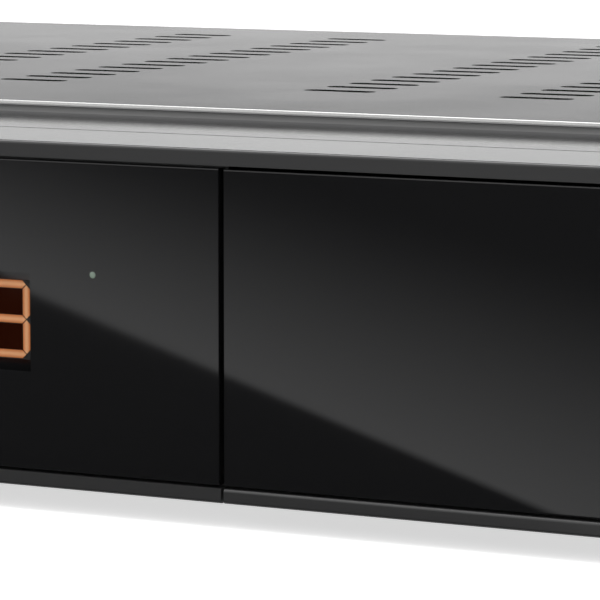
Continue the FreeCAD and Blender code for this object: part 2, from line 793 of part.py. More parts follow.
def front_bezel():
    inner_end = tray_end - rear_wall
    back = tongue_end + 1
    left_end = -bezel_end + front_end_wall
    right_end = bezel_end - flap_end_wall
    tall = (opening_bottom, opening_top)
    tools = []
    for side in (-1, 1):
        x = sorted((side * tray_end, side * (bezel_end + 1)))
        tools.append(block(x, (cover_front - tongue_play, back), (0, cover_top + 1)))
    tools.append(block((left_end, cheek_right), (face_y - 1, window_back), tall))
    hollow_front = recess_back + recess_wall_gap
    tools.append(block((left_end, cheek_left), (carrier_back, hollow_front), tall))
    tools.append(block((cheek_right, right_end), (face_y - 1, recess_back), tall))
    tools.append(block((cheek_right, right_end), (face_y - 1, face_y + flap_well),
                       (bezel_bottom - 1, opening_bottom + 1)))
    tools.append(block((-inner_end, inner_end), (hollow_front, back), tall))
    tools.append(block((cheek_right, inner_end), (recess_back - 1, hollow_front + 1), tall))
    tools.append(block((-inner_end, inner_end), (cover_front + tongue_step + tongue_wall, back),
                       (opening_top - 1, cover_under - tongue_play - tongue_wall)))
    # openings in the wall behind the window
    y = (window_back - 1, carrier_back + 1)
    display_x = last_digit_x - digit_pitch * (digit_count - 1) / 2
    tools.append(block(around(display_x, display_size[0] + 2 * display_play), y,
                       around(digit_z, display_size[1] + 2 * display_play)))
    tools.append(rod((led_x, y[0], led_z), (led_x, y[1], led_z), led_radius + display_play))
    tools.append(rod((infrared_x, y[0], infrared_z), (infrared_x, y[1], infrared_z), infrared_radius))
    tools.append(rod((standby_x, y[0], standby_z), (standby_x, y[1], standby_z), standby_radius + key_play))
    # hinge pin holes
    tools.append(rod((cheek_left - 1, pivot_y, pivot_z), (cheek_right + 1, pivot_y, pivot_z), pin_radius))
    pin_end = right_end + pin_in_wall
    tools.append(rod((right_end - 1, pivot_y, pivot_z), (pin_end, pivot_y, pivot_z), pin_radius))
    tools += [tongue_corner(-1), tongue_corner(1)]
    shell = bezel_blank().cut(tools)
    boss_front = tongue_end - boss_length
    additions = []
    holes = []
    for x in fascia_screw_x:
        additions.append(rod((x, boss_front, boss_z), (x, tongue_end, boss_z), boss_radius))
        additions.append(block(around(x, boss_rib), (boss_front, tongue_end), (bezel_bottom + 1, boss_z)))
        holes.append(rod((x, tongue_end - fascia_screw_length - 1, boss_z), (x, tongue_end + 1, boss_z),
                         fascia_screw_radius))
    for x, z in display_post_places():
        additions.append(rod((x, carrier_back - 1, z), (x, face_y + display_board_y, z), post_radius))
        holes.append(rod((x, carrier_back + 1, z), (x, face_y + display_board_y + 1, z), board_screw_radius))
    save("front_bezel", less(shell.fuse(additions), holes))


def display_window():
    x = window_span()
    z = (opening_bottom + plate_gap, opening_top - plate_gap)
    plate = block((x[0] + plate_gap, x[1]), (face_y + window_inset, window_back), z)
    plate = rounded(plate, plate_edge_round, along_x, at_front)
    hole = rod((standby_x, face_y - 1, standby_z), (standby_x, window_back + 1, standby_z),
               standby_radius + key_play)
    save("display_window", less(plate, [hole]))


def recess_keys():
    """Name, middle, width and height of each key behind the flap."""
    step = arrow_key_offset
    return [
        ("key_up", key_cluster_x, key_cluster_z + step, arrow_key_long, arrow_key_short),
        ("key_down", key_cluster_x, key_cluster_z - step, arrow_key_long, arrow_key_short),
        ("key_left", key_cluster_x - step, key_cluster_z, arrow_key_short, arrow_key_long),
        ("key_right", key_cluster_x + step, key_cluster_z, arrow_key_short, arrow_key_long),
    ]


def key_bar(x, z, width, height, grow, y):
    """A round-ended or square-ended bar for an arrow key, its flange or its hole."""
    bar = block(around(x, width + 2 * grow), y, around(z, height + 2 * grow))
    return rounded(bar, key_corner, along_y)


def key_post_places():
    inset = key_post_inset
    x = (key_board_x[0] + inset, key_board_x[1] - inset)
    z = (key_post_low_z, key_board_z[1] - inset)
    return [(a, b) for a in x for b in z]


def display_post_places():
    inset = display_post_inset
    x = (display_board_x[0] + inset, seam_x - display_post_offset, display_board_x[1] - inset)
    z = (display_board_z[0] + inset, display_board_z[1] - inset)
    return [(a, b) for a in x for b in z]


def slot_openings():
    """Middle height, width and height of each card slot in the recess panel."""
    slots = [(z, module_slot_width, module_slot_height) for z in module_slot_z]
    return slots + [(smart_slot_z(), smart_slot_width, smart_slot_height)]


def smart_slot_z():
    return card_cage_z[1] + smart_body_height / 2


def slot_panel():
    """The left part of the wall behind the flap, with the three card slots."""
    plate = block((cheek_right, panel_joint_x - panel_joint_gap / 2), (recess_front, recess_back),
                  (opening_bottom, opening_top))
    parts = [plate]
    tools = []
    y = (recess_front - 3, recess_back + 1)
    for z, width, height in slot_openings():
        frame = block(around(card_cage_x, width + 2 * slot_frame),
                      (recess_front - slot_frame_proud, recess_back), around(z, height + 2 * slot_frame))
        parts.append(rounded(frame, slot_frame / 2, along_y))
        tools.append(block(around(card_cage_x, width), y, around(z, height)))
    save("slot_panel", less(fused(parts), tools))


def key_panel():
    """The right part of the wall behind the flap, with the keys and the front socket."""
    right_end = bezel_end - flap_end_wall
    parts = [block((panel_joint_x + panel_joint_gap / 2, right_end), (recess_front, recess_back),
                   (opening_bottom, opening_top))]
    y = (recess_front - 3, recess_back + 1)
    play = key_play
    tools = [block(around(key_cluster_x, usb_width + 2 * play), y,
                   around(usb_front_z, usb_height + 2 * play))]
    for name, x, z, width, height in recess_keys():
        tools.append(key_bar(x, z, width, height, play, y))
    tools.append(rod((key_cluster_x, y[0], key_cluster_z), (key_cluster_x, y[1], key_cluster_z),
                     ok_key_radius + play))
    for x, z in key_post_places():
        parts.append(rod((x, recess_back - 1, z), (x, face_y + key_board_y, z), post_radius))
        tools.append(rod((x, recess_back + 4, z), (x, face_y + key_board_y + 1, z), board_screw_radius))
    save("key_panel", less(fused(parts), tools))


def magnet_face():
    return flap_skin_back + magnet_thickness


def flap_catch():
    """A steel stud on the slot panel, and the magnet in the flap that it holds."""
    tip = magnet_face() + magnet_play
    head_back = tip + catch_head_thickness
    head = rod((flap_middle, tip, catch_z), (flap_middle, head_back, catch_z), catch_head_radius)
    shank = rod((flap_middle, tip, catch_z), (flap_middle, recess_front, catch_z), catch_shank_radius)
    save("catch_stud", fused([head, shank]))
    save("flap_magnet", rod((flap_middle, flap_skin_back, catch_z), (flap_middle, magnet_face(), catch_z),
                            magnet_radius))


def flap_frame():
    x = (flap_left, flap_right)
    shelf_back = face_y + flap_shelf_depth
    profile = [(face_y, bezel_bottom), (face_y, opening_bottom), (flap_skin_y, opening_bottom),
               (flap_skin_y, flap_top), (flap_skin_back, flap_top), (flap_skin_back, opening_bottom),
               (shelf_back, opening_bottom), (shelf_back, bezel_bottom)]
    body = side_prism(profile, x)
    body = rounded(body, bezel_edge_round, along_x, lambda p: p.y < face_y + 0.1)
    parts = [body]
    back = flap_skin_back + flap_rib_depth
    low = bezel_bottom + rib_lift
    parts.append(block(x, (flap_skin_y, back), (flap_top - flap_rib, flap_top)))
    for a in (x[0], x[1] - flap_rib):
        parts.append(block((a, a + flap_rib), (flap_skin_y, back), (low, flap_top)))
    high = flap_top - rib_lift
    stiffener = [(flap_skin_y, low), (flap_skin_y, high), (flap_skin_back + rib_lift, high),
                 (shelf_back, bezel_bottom + stiffener_foot), (shelf_back, low)]
    for share in stiffener_shares:
        middle = x[0] + (x[1] - x[0]) * share
        parts.append(side_prism(stiffener, around(middle, flap_rib)))
    for a in (x[0], x[1] - ear_length):
        parts.append(rod((a, pivot_y, pivot_z), (a + ear_length, pivot_y, pivot_z), ear_radius))
        parts.append(block((a, a + ear_length), (flap_skin_y, pivot_y + ear_radius), (low, pivot_z)))
    ring = rod((flap_middle, flap_skin_y + magnet_ring_inset, catch_z), (flap_middle, magnet_face(), catch_z),
               magnet_radius + magnet_ring)
    socket = rod((flap_middle, flap_skin_back, catch_z), (flap_middle, back + 1, catch_z), magnet_radius)
    parts.append(ring)
    hole = pin_radius + pin_play
    reach = pin_in_flap + pin_end_play
    behind_panel = block((x[0] - 1, x[1] + 1), (face_y - 1, flap_skin_y), (opening_bottom, flap_top + 1))
    tools = [socket, behind_panel]
    tools.append(rod((x[0] - 1, pivot_y, pivot_z), (x[0] + reach, pivot_y, pivot_z), hole))
    tools.append(rod((x[1] - reach, pivot_y, pivot_z), (x[1] + 1, pivot_y, pivot_z), hole))
    save("flap_frame", less(fused(parts), tools))


def flap_panel():
    z = (opening_bottom + plate_gap, flap_top)
    plate = block((flap_left, flap_right), (flap_front, flap_skin_y), z)
    save("flap_panel", rounded(plate, plate_edge_round, along_x, at_front))


def hinge_pins():
    left = rod((cheek_left, pivot_y, pivot_z), (flap_left + pin_in_flap, pivot_y, pivot_z), pin_radius)
    end = bezel_end - flap_end_wall + pin_in_wall
    right = rod((flap_right - pin_in_flap, pivot_y, pivot_z), (end, pivot_y, pivot_z), pin_radius)
    save("hinge_pins", [left, right])


# Keys
def key_solid(cap, flange, x, z, board_front):
    """A key cap with its keeper flange and the stem that reaches the switch."""
    end = board_front - tact_height - plunger_height - key_rest_gap
    stem = rod((x, recess_back, z), (x, end, z), key_stem_radius)
    return fused([cap, flange, stem])


def key_depths():
    """Front and rear of the caps behind the flap, then of their keeper flanges."""
    flange = recess_back + key_play
    return (recess_front - key_proud, flange + 0.5), (flange, flange + key_flange_thickness)


def arrow_keys():
    cap_y, flange_y = key_depths()
    board_front = face_y + key_board_y
    for name, x, z, width, height in recess_keys():
        cap = key_bar(x, z, width, height, 0, cap_y)
        front_edges = [e for e in cap.Edges if abs(e.CenterOfMass.y - cap_y[0]) < 0.01]
        cap = cap.makeFillet(key_edge, front_edges)
        flange = key_bar(x, z, width, height, key_flange, flange_y)
        save(name, key_solid(cap, flange, x, z, board_front))


def ok_key():
    cap_y, flange_y = key_depths()
    x = key_cluster_x
    z = key_cluster_z
    r = ok_key_radius
    length = cap_y[1] - cap_y[0]
    cap = turned([(0, 0), (r, 0), (r, length - key_edge), (r - key_edge, length), (key_dish[0], length),
                  (0, length - key_dish[1])], (x, cap_y[1], z), along_y * -1)
    flange = rod((x, flange_y[0], z), (x, flange_y[1], z), r + key_flange)
    save("key_ok", key_solid(cap, flange, x, z, face_y + key_board_y))


def standby_key():
    x = standby_x
    z = standby_z
    r = standby_radius
    flange_y = carrier_back + key_play
    length = flange_y + 0.5 - face_y
    cap = turned([(0, 0), (r, 0), (r, length - key_edge), (r - key_edge, length), (r / 2, length),
                  (0, length - key_dish[1])], (x, face_y + length, z), along_y * -1)
    flange = rod((x, flange_y, z), (x, flange_y + key_flange_thickness, z), r + key_flange)
    end = face_y + display_board_y - tact_height - plunger_height - key_rest_gap
    stem = rod((x, face_y + 2, z), (x, end, z), key_stem_radius)
    save("standby_key", fused([cap, flange, stem]))


def tact_switch(x, z, board_front):
    body = block(around(x, tact_size), (board_front - tact_height, board_front), around(z, tact_size))
    body = rounded(body, body_corner, along_y)
    tip = board_front - tact_height - plunger_height
    return fused([body, rod((x, tip, z), (x, board_front - 1, z), plunger_radius)])


def tact_switches():
    board_front = face_y + key_board_y
    pieces = [tact_switch(x, z, board_front) for name, x, z, width, height in recess_keys()]
    pieces.append(tact_switch(key_cluster_x, key_cluster_z, board_front))
    pieces.append(tact_switch(standby_x, standby_z, face_y + display_board_y))
    save("tact_switches", pieces)


# Front electronics
def display_board():
    y = face_y + display_board_y
    board = block(display_board_x, (y, y + board_thickness), display_board_z)
    holes = [rod((x, y - 1, z), (x, y + 3, z), board_screw_hole) for x, z in display_post_places()]
    save("display_board", less(board, holes))


def key_board():
    y = face_y + key_board_y
    board = block(key_board_x, (y, y + board_thickness), key_board_z)
    holes = [rod((x, y - 1, z), (x, y + 3, z), board_screw_hole) for x, z in key_post_places()]
    save("key_board", less(board, holes))


def front_board_screws():
    pieces = []
    boards = [(display_board_y, display_post_places()), (key_board_y, key_post_places())]
    radius, rim, flat, height = board_head
    profile = [(0, 0), (radius, 0), (radius, rim), (flat, height), (0, height)]
    for depth, places in boards:
        seat = face_y + depth + board_thickness
        for x, z in places:
            head = turned(profile, (x, seat, z), along_y)
            shank = rod((x, seat - board_screw_length, z), (x, seat, z), board_screw_radius)
            pieces.append(fused([head, shank]))
    save("front_board_screws", pieces)


def digit_centres():
    return [last_digit_x - digit_pitch * step for step in reversed(range(digit_count))]


def display_module():
    middle = (digit_centres()[0] + digit_centres()[-1]) / 2
    body = block(around(middle, display_size[0]), (window_back + display_play, face_y + display_board_y),
                 around(digit_z, display_size[1]))
    save("display_module", rounded(body, body_corner, along_y))


def segment_bar(x, z, upright):
    """One lit bar of a digit, with pointed ends."""
    half_w = segment_width / 2
    reach = digit_height / 2 if upright else digit_width
    half = (reach - segment_width * (0.5 if upright else 1) - segment_gap) / 2
    shape = [(-half, 0), (-half + half_w, half_w), (half - half_w, half_w), (half, 0),
             (half - half_w, -half_w), (-half + half_w, -half_w)]
    y = window_back + display_play
    corners = [Vector(x + (v if upright else u), y, z + (u if upright else v)) for u, v in shape]
    face = Part.Face(Part.makePolygon(corners + corners[:1]))
    return face.extrude(Vector(0, -segment_proud, 0))


def display_segments():
    pieces = []
    side = (digit_width - segment_width) / 2
    rise = (digit_height - segment_width) / 2
    for x in digit_centres():
        for level in (-1, 0, 1):
            pieces.append(segment_bar(x, digit_z + level * rise, False))
        for across in (-1, 1):
            for level in (-1, 1):
                pieces.append(segment_bar(x + across * side, digit_z + level * rise / 2, True))
    save("display_segments", pieces)


def standby_led():
    tip = window_back + display_play
    board_front = face_y + display_board_y
    lamp = rod((led_x, tip + led_radius, led_z), (led_x, board_front, led_z), led_radius)
    dome = Part.makeSphere(led_radius, Vector(led_x, tip + led_radius, led_z))
    rim = rod((led_x, board_front - led_rim_height, led_z), (led_x, board_front, led_z), led_radius + led_rim)
    save("standby_led", fused([lamp, dome, rim]))


def infrared_receiver():
    board_front = face_y + display_board_y
    front = carrier_back + infrared_gap
    width, height = infrared_body
    body = block(around(infrared_x, width), (front + infrared_eye_reach, board_front),
                 around(infrared_z, height))
    eye = Part.makeSphere(infrared_eye, Vector(infrared_x, front + infrared_eye, infrared_z))
    save("infrared_receiver", fused([body, eye]))


def usb_socket(x, z, open_y, inward):
    """A steel shell open at one end, with the contact tongue inside."""
    y = sorted((open_y, open_y + inward * usb_depth))
    hollow = sorted((open_y - inward, open_y + inward * (usb_depth - usb_closed_end)))
    w = usb_wall
    inside = usb_width - 2 * w
    shell = block(around(x, usb_width), y, around(z, usb_height))
    cavity = block(around(x, inside), hollow, around(z, usb_height - 2 * w))
    tongue_top = z + usb_height / 2 - w - usb_tongue_gap[1]
    tongue_y = sorted((open_y + inward * usb_tongue_inset, open_y + inward * usb_depth))
    tongue = block(around(x, inside - usb_tongue_gap[0]), tongue_y, (tongue_top - usb_tongue, tongue_top))
    return fused([shell.cut(cavity), tongue])


def module_cage():
    """A steel cage of flat plates: three decks, two sides and a back around the two module slots."""
    w = card_cage_wall
    back = recess_back + card_cage_depth
    slot_end = recess_back + module_slot_depth
    sides = around(card_cage_x, card_cage_width)
    half = module_slot_height / 2
    decks = []
    for z in module_slot_z:
        decks += [(z - half - w, z - half), (z + half, z + half + w)]
    inner = (sides[0] + card_side_wall, sides[1] - card_side_wall)
    plates = [block(inner, (recess_back, back), deck) for deck in decks]
    plates.append(block((sides[0], inner[0]), (recess_back, back), card_cage_z))
    plates.append(block((inner[1], sides[1]), (recess_back, back), card_cage_z))
    for z in module_slot_z:
        plates.append(block(inner, (slot_end, slot_end + w), around(z, module_slot_height)))
    for x in (sides[0] + cage_leg_inset + cage_leg / 2, sides[1] - cage_leg_inset - cage_leg / 2):
        for y in (face_y + main_board_front + cage_leg_inset, back - cage_leg_inset - cage_leg):
            plates.append(block(around(x, cage_leg), (y, y + cage_leg), (board_top, decks[0][0])))
    save("module_cage", plates)


def smart_card_reader():
    low = card_cage_z[1]
    body = block(around(card_cage_x, card_cage_width), (recess_back, recess_back + smart_body_depth),
                 (low, low + smart_body_height))
    slot = block(around(card_cage_x, smart_slot_width),
                 (recess_back - 1, recess_back + smart_body_depth - smart_slot_end),
                 around(smart_slot_z(), smart_slot_height))
    window_y = recess_back + smart_window_back
    window = block(around(card_cage_x, smart_window[0]), (window_y, window_y + smart_window[1]),
                   (smart_slot_z(), low + smart_body_height + 1))
    save("smart_card_reader", less(body, [slot, window]))


def module_pin_blocks():
    width, depth, height = module_pins
    y = recess_back + module_slot_depth
    save("module_pin_blocks", [block(around(card_cage_x, width), (y - depth, y), around(z, height))
                               for z in module_slot_z])


# Main board
def main_board():
    board = block(main_board_x, (face_y + main_board_front, board_rear), (board_z, board_top))
    holes = [rod((x, y, board_z - 1), (x, y, board_top + 1), screw_radius) for x, y in standoff_places()[:4]]
    save("main_board", less(board, holes))


def power_board():
    board = block(power_board_x, (power_front, board_rear), (board_z, board_top))
    holes = [rod((x, y, board_z - 1), (x, y, board_top + 1), screw_radius) for x, y in standoff_places()[4:]]
    save("power_board", less(board, holes))


def standing(x, y, size):
    """A square block of a width, depth and height, standing on a board."""
    width, depth, height = size
    return block(around(x, width), around(y, depth), (board_top, board_top + height))


def can(x, y, radius, height):
    """A round capacitor can standing on a board, its top edge turned in."""
    profile = [(0, 0), (radius, 0), (radius, height - can_edge), (radius - can_edge, height), (0, height)]
    return turned(profile, (x, y, board_top), along_z)


def heat_sink():
    low = board_top + processor_height
    across = around(processor_x, sink_width)
    along = around(processor_y, sink_width)
    parts = [block(across, along, (low, low + sink_base))]
    pitch = (sink_width - sink_fin) / (sink_fins - 1)
    for row in range(sink_fins):
        x = across[0] + sink_fin / 2 + row * pitch
        parts.append(block(around(x, sink_fin), along, (low + sink_base / 2, low + sink_height)))
    save("heat_sink", fused(parts))


def board_chips():
    """Processor, memory and small chips, and the transistor on the power heat sink."""
    pieces = [standing(processor_x, processor_y, (processor_size, processor_size, processor_height))]
    for across, back, size in small_chips:
        pieces.append(standing(processor_x + across, processor_y + back, size))
    width, depth, height = transistor_size
    y = power_sink_y - power_sink_plate / 2
    pieces.append(block(around(power_middle_x, width), (y - depth, y),
                        (board_top + transistor_lift, board_top + transistor_lift + height)))
    save("board_chips", pieces)


def board_capacitors():
    pieces = []
    for across, back in small_can_places:
        y = face_y + main_board_front + back
        pieces.append(can(main_board_x[0] + across, y, small_can[0], small_can[1]))
    for across, ahead in medium_can_places:
        pieces.append(can(power_middle_x + across, board_rear - ahead, medium_can[0], medium_can[1]))
    across, ahead = large_can_place
    pieces.append(can(power_middle_x + across, board_rear - ahead, large_can[0], large_can[1]))
    save("board_capacitors", pieces)


def tuner_can():
    width, depth, height = tuner_size
    body = block(around(tuner_x, width), (panel_in - depth, panel_in), (board_top, board_top + height))
    save("tuner_can", rounded(body, tuner_corner, along_z))


def hexagon(x, y, z, reach, depth):
    """A six-sided bar drawn out along Y from a middle point."""
    corners = [Vector(x + reach * math.cos(turn * math.pi / 3), y, z + reach * math.sin(turn * math.pi / 3))
               for turn in range(6)]
    return Part.Face(Part.makePolygon(corners + corners[:1])).extrude(Vector(0, depth, 0))


def aerial_connectors():
    tip = rear_y + aerial_reach
    barrels = []
    inserts = []
    for side in (-1, 1):
        x = tuner_x + side * aerial_spacing / 2
        floor_y = tip - aerial_mouth[1]
        barrel = rod((x, panel_in, aerial_z), (x, tip, aerial_z), aerial_radius)
        nut = hexagon(x, rear_y, aerial_z, aerial_nut_reach, aerial_nut_depth)
        mouth = rod((x, floor_y, aerial_z), (x, tip + 1, aerial_z), aerial_mouth[0])
        barrels.append(less(fused([barrel, nut]), [mouth]))
        insert = rod((x, floor_y, aerial_z), (x, tip - aerial_insert_inset, aerial_z), aerial_mouth[0])
        hole = rod((x, floor_y + aerial_hole / 2, aerial_z), (x, tip, aerial_z), aerial_hole / 2)
        inserts.append(insert.cut(hole))
    save("aerial_connectors", barrels)
    save("aerial_insulators", inserts)


def serial_port():
    width, height = serial_shell
    flange_y = (panel_in - serial_flange[2], panel_in)
    body_y = (flange_y[0] - serial_body[1], flange_y[0])
    flange = block(around(serial_x, serial_flange[0]), flange_y, around(serial_z, serial_flange[1]))
    shell = block(around(serial_x, width), (flange_y[0], panel_out + serial_reach), around(serial_z, height))
    shell = rounded(shell, serial_corner, along_y)
    body = block(around(serial_x, serial_body[0]), body_y, around(serial_z, serial_body[2]))
    foot = block(around(serial_x, serial_body[0]), (body_y[0] - serial_foot, body_y[1] - serial_foot),
                 (board_top, serial_z))
    holes = []
    for row, count in ((serial_row_rise, 5), (-serial_row_rise, 4)):
        for step in range(count):
            x = serial_x + (step - (count - 1) / 2) * serial_pitch
            holes.append(rod((x, panel_out + serial_reach - serial_hole[1], serial_z + row),
                             (x, panel_out + serial_reach + 1, serial_z + row), serial_hole[0]))
    save("serial_port", less(fused([flange, shell, body, foot]), holes))


def serial_posts():
    posts = []
    for side in (-1, 1):
        x = serial_x + side * post_spacing / 2
        post = hexagon(x, panel_out, serial_z, post_reach, post_length)
        end = panel_out + post_length + 1
        bore = rod((x, panel_out + post_floor, serial_z), (x, end, serial_z), post_bore)
        posts.append(post.cut(bore))
    save("serial_posts", posts)


def video_socket():
    width, depth, height = hdmi_size
    wall = hdmi_wall
    z = board_top
    y = (panel_out - depth, panel_out + socket_proud)

    def lower(point):
        return point.z < z + height / 2

    shell = block(around(hdmi_x, width), y, (z, z + height))
    shell = shell.makeChamfer(hdmi_chamfer, edges_along(shell, along_y, lower))
    cavity = block(around(hdmi_x, width - 2 * wall), (y[1] - hdmi_deep, y[1] + 1),
                   (z + wall, z + height - wall))
    cavity = cavity.makeChamfer(hdmi_chamfer, edges_along(cavity, along_y, lower))
    tongue = block(around(hdmi_x, width - hdmi_tongue[0]), (y[1] - hdmi_deep - 1, y[1] - hdmi_tongue[1]),
                   around(z + height / 2, hdmi_tongue[2]))
    save("video_socket", fused([shell.cut(cavity), tongue]))


def network_socket():
    width, depth, height = lan_size
    y = (panel_out - depth, panel_out + socket_proud)
    body = block(around(lan_x, width), y, (board_top, board_top + height))
    low = board_top + lan_port_lift
    deep = (y[1] - lan_port[2], y[1] + 1)
    port = block(around(lan_x, lan_port[0]), deep, (low, low + lan_port[1]))
    latch = block(around(lan_x, lan_latch[0]), deep, (low - lan_latch[1], low + 1))
    save("network_socket", less(body, [port, latch]))


def usb_sockets():
    rear = usb_socket(rear_usb_x, board_top + usb_height / 2, panel_out + socket_proud, -1)
    front = usb_socket(key_cluster_x, usb_front_z, face_y + key_board_y - usb_depth, 1)
    save("usb_sockets", [front, rear])


def phono_places():
    return [rca_x + step * rca_spacing for step in (-1, 0, 1)]


def phono_sockets():
    width, depth, height = rca_size
    body = block(around(rca_x, width), (panel_in - depth, panel_in), (board_top, board_top + height))
    save("phono_block", rounded(body, tuner_corner, along_z))
    tip = rear_y + rca_reach
    collar_end = panel_out + rca_collar[1]
    inside = rca_radius - rca_wall
    barrels = []
    inserts = []
    for x in phono_places():
        collar = rod((x, panel_in, rca_z), (x, collar_end, rca_z), rca_radius + rca_collar[0])
        core = rod((x, panel_out, rca_z), (x, tip - rca_core_inset, rca_z), inside)
        bore = rod((x, collar_end, rca_z), (x, tip, rca_z), rca_bore)
        inserts.append(less(fused([collar, core]), [bore]))
        barrel = rod((x, collar_end, rca_z), (x, tip, rca_z), rca_radius)
        barrels.append(barrel.cut(rod((x, panel_out, rca_z), (x, tip + 1, rca_z), inside)))
    save("phono_inserts", inserts)
    save("phono_barrels", barrels)


def optical_socket():
    width, depth, height = optical_size
    y = (panel_out - depth, panel_out + socket_proud)
    body = block(around(optical_x, width), y, (board_top, board_top + height))
    recess = block(around(optical_x, optical_port[0]), (y[1] - optical_port[1], y[1] + 1),
                   around(board_top + height / 2, optical_port[0]))
    save("optical_socket", less(body, [rounded(recess, optical_corner, along_y)]))


# Power supply
def power_transformer():
    x = power_middle_x + transformer_place[0]
    y = board_rear - transformer_place[1]
    width, depth, height = transformer_core
    low = board_top + bobbin_size[2]
    core = block(around(x, width), around(y, depth), (low, low + height))
    winding = block(around(x, winding_size[0]), around(y, winding_size[1]),
                    (board_top + 1, low + height + winding_size[2]))
    save("power_transformer", fused([core, winding, standing(x, y, bobbin_size)]))


def power_heat_sink():
    width, top_depth, height = power_sink_size
    t = power_sink_plate
    plate = block(around(power_middle_x, width), around(power_sink_y, t), (board_top, board_top + height))
    top = block(around(power_middle_x, width), (power_sink_y, power_sink_y + top_depth),
                (board_top + height - t, board_top + height))
    save("power_heat_sink", fused([plate, top]))


def mains_filter():
    """The choke and the fuse in its two clips."""
    x = power_middle_x + choke_place[0]
    y = board_rear - choke_place[1]
    base = standing(x, y, choke_base)
    outer, bore, height = choke_ring
    profile = [(bore, 0), (outer, 0), (outer, height), (bore, height)]
    ring = turned(profile, (x, y, board_top + choke_base[2]), along_z)
    fuse_x = power_middle_x + fuse_place[0]
    fuse_y = board_rear - fuse_place[1]
    z = board_top + fuse_lift
    parts = [rod((fuse_x, fuse_y, z), (fuse_x, fuse_y + fuse_length, z), fuse_radius)]
    for y_clip in (fuse_y + fuse_clip[1] / 2, fuse_y + fuse_length - fuse_clip[1] / 2):
        parts.append(standing(fuse_x, y_clip, fuse_clip))
    save("mains_filter", [fused([base, ring]), fused(parts)])


def inlet_lobes():
    return [inlet_x + side * inlet_pitch / 2 for side in (-1, 1)]


def mains_inlet():
    """A two-pin figure-eight inlet snapped into the rear panel."""
    back = panel_out - inlet_depth
    floor_y = back + inlet_floor
    length = 2 * inlet_lobe + inlet_pitch
    outer = stadium((inlet_x, (back + panel_out) / 2, inlet_z), length + 2 * inlet_wall,
                    2 * (inlet_lobe + inlet_wall), inlet_depth, along_x, along_y)
    flange = stadium((inlet_x, panel_out + inlet_flange / 2, inlet_z), length + 2 * inlet_rim,
                     2 * (inlet_lobe + inlet_rim), inlet_flange, along_x, along_y)
    mouth = panel_out + inlet_flange + 1
    tools = [block(around(inlet_x, inlet_pitch), (floor_y, mouth), around(inlet_z, inlet_web))]
    pins = []
    for x in inlet_lobes():
        tools.append(rod((x, floor_y, inlet_z), (x, mouth, inlet_z), inlet_lobe))
        tools.append(rod((x, back - 1, inlet_z), (x, floor_y + 1, inlet_z), inlet_pin_radius))
        pins.append(rod((x, back - inlet_pin_tail, inlet_z), (x, panel_out - 1.0, inlet_z), inlet_pin_radius))
    save("mains_inlet", less(fused([outer, flange]), tools))
    save("mains_inlet_pins", pins)


def rocker_axis_y():
    return panel_out - rocker_pivot_back


def mains_switch_body():
    """A rocker switch snapped into the rear panel, with its pivot across the short side."""
    width, height = switch_size
    back = panel_out - switch_depth
    inside = (width - 2 * switch_wall, height - 2 * switch_wall)
    body = block(around(switch_x, width), (back, panel_out), around(switch_z, height))
    flange = block(around(switch_x, width + 2 * switch_rim), (panel_out, panel_out + switch_flange),
                   around(switch_z, height + 2 * switch_rim))
    well = block(around(switch_x, inside[0]), (panel_out - switch_well, panel_out + switch_flange + 1),
                 around(switch_z, inside[1]))
    y = rocker_axis_y()
    pin = rod((switch_x, y, switch_z - height / 2), (switch_x, y, switch_z + height / 2), rocker_pin_radius)
    thickness, length, tab_height = switch_tab
    tabs = [block(around(switch_x + at, thickness), (back - length, back), around(switch_z, tab_height))
            for at in switch_tab_places]
    shell = less(fused([body, rounded(flange, switch_rim / 2, along_y)]), [well])
    save("mains_switch_body", fused([shell, pin] + tabs))


def mains_rocker():
    """The rocker in its off position."""
    width, height = switch_size
    half = width / 2 - switch_wall - rocker_tip_play
    thin = height - 2 * (switch_wall + rocker_play)
    y = rocker_axis_y()
    low_z = switch_z - thin / 2
    top = panel_out + rocker_rise
    outline = [(-half, top + rocker_tip_rise), (0, top), (half, top + rocker_tip_rise),
               (half - rocker_taper, y - rocker_skirt), (-half + rocker_taper, y - rocker_skirt)]
    corners = [Vector(switch_x + across, back, low_z) for across, back in outline]
    rocker = Part.Face(Part.makePolygon(corners + corners[:1])).extrude(Vector(0, 0, thin))
    bore = rod((switch_x, y, low_z - 1), (switch_x, y, low_z + thin + 1), rocker_pin_radius + pin_play)
    rocker = less(rocker, [bore])
    rocker.rotate(Vector(switch_x, y, switch_z), along_z, -rocker_swing / 2)
    save("mains_rocker", rocker)


# Internal leads
def flat_lead(points, width, thickness, across):
    """A flat lead: straight runs through points, drawn square to its width."""
    pieces = []
    for a, b in zip(points, points[1:]):
        start = Vector(*a)
        end = Vector(*b)
        way = end - start
        way.normalize()
        normal = way.cross(across) * (thickness / 2)
        side = across * (width / 2)
        if a != points[0]:
            start = start - way * (thickness / 2)
        if b != points[-1]:
            end = end + way * (thickness / 2)
        corners = [start + side + normal, start - side + normal, start - side - normal, start + side - normal]
        face = Part.Face(Part.makePolygon(corners + corners[:1]))
        pieces.append(face.extrude(end - start))
    return fused(pieces)


def ribbon_row_y():
    """Where the front ribbons land on the main board."""
    return face_y + main_board_front + ribbon_inset


def lead_headers():
    width, depth, height = header_size
    y = face_y + display_board_y + board_thickness
    header = block(around(ribbon_x, width), (y, y + height), around(header_z, depth))
    save("lead_headers", [header, standing(ribbon_x, ribbon_row_y(), header_size)])


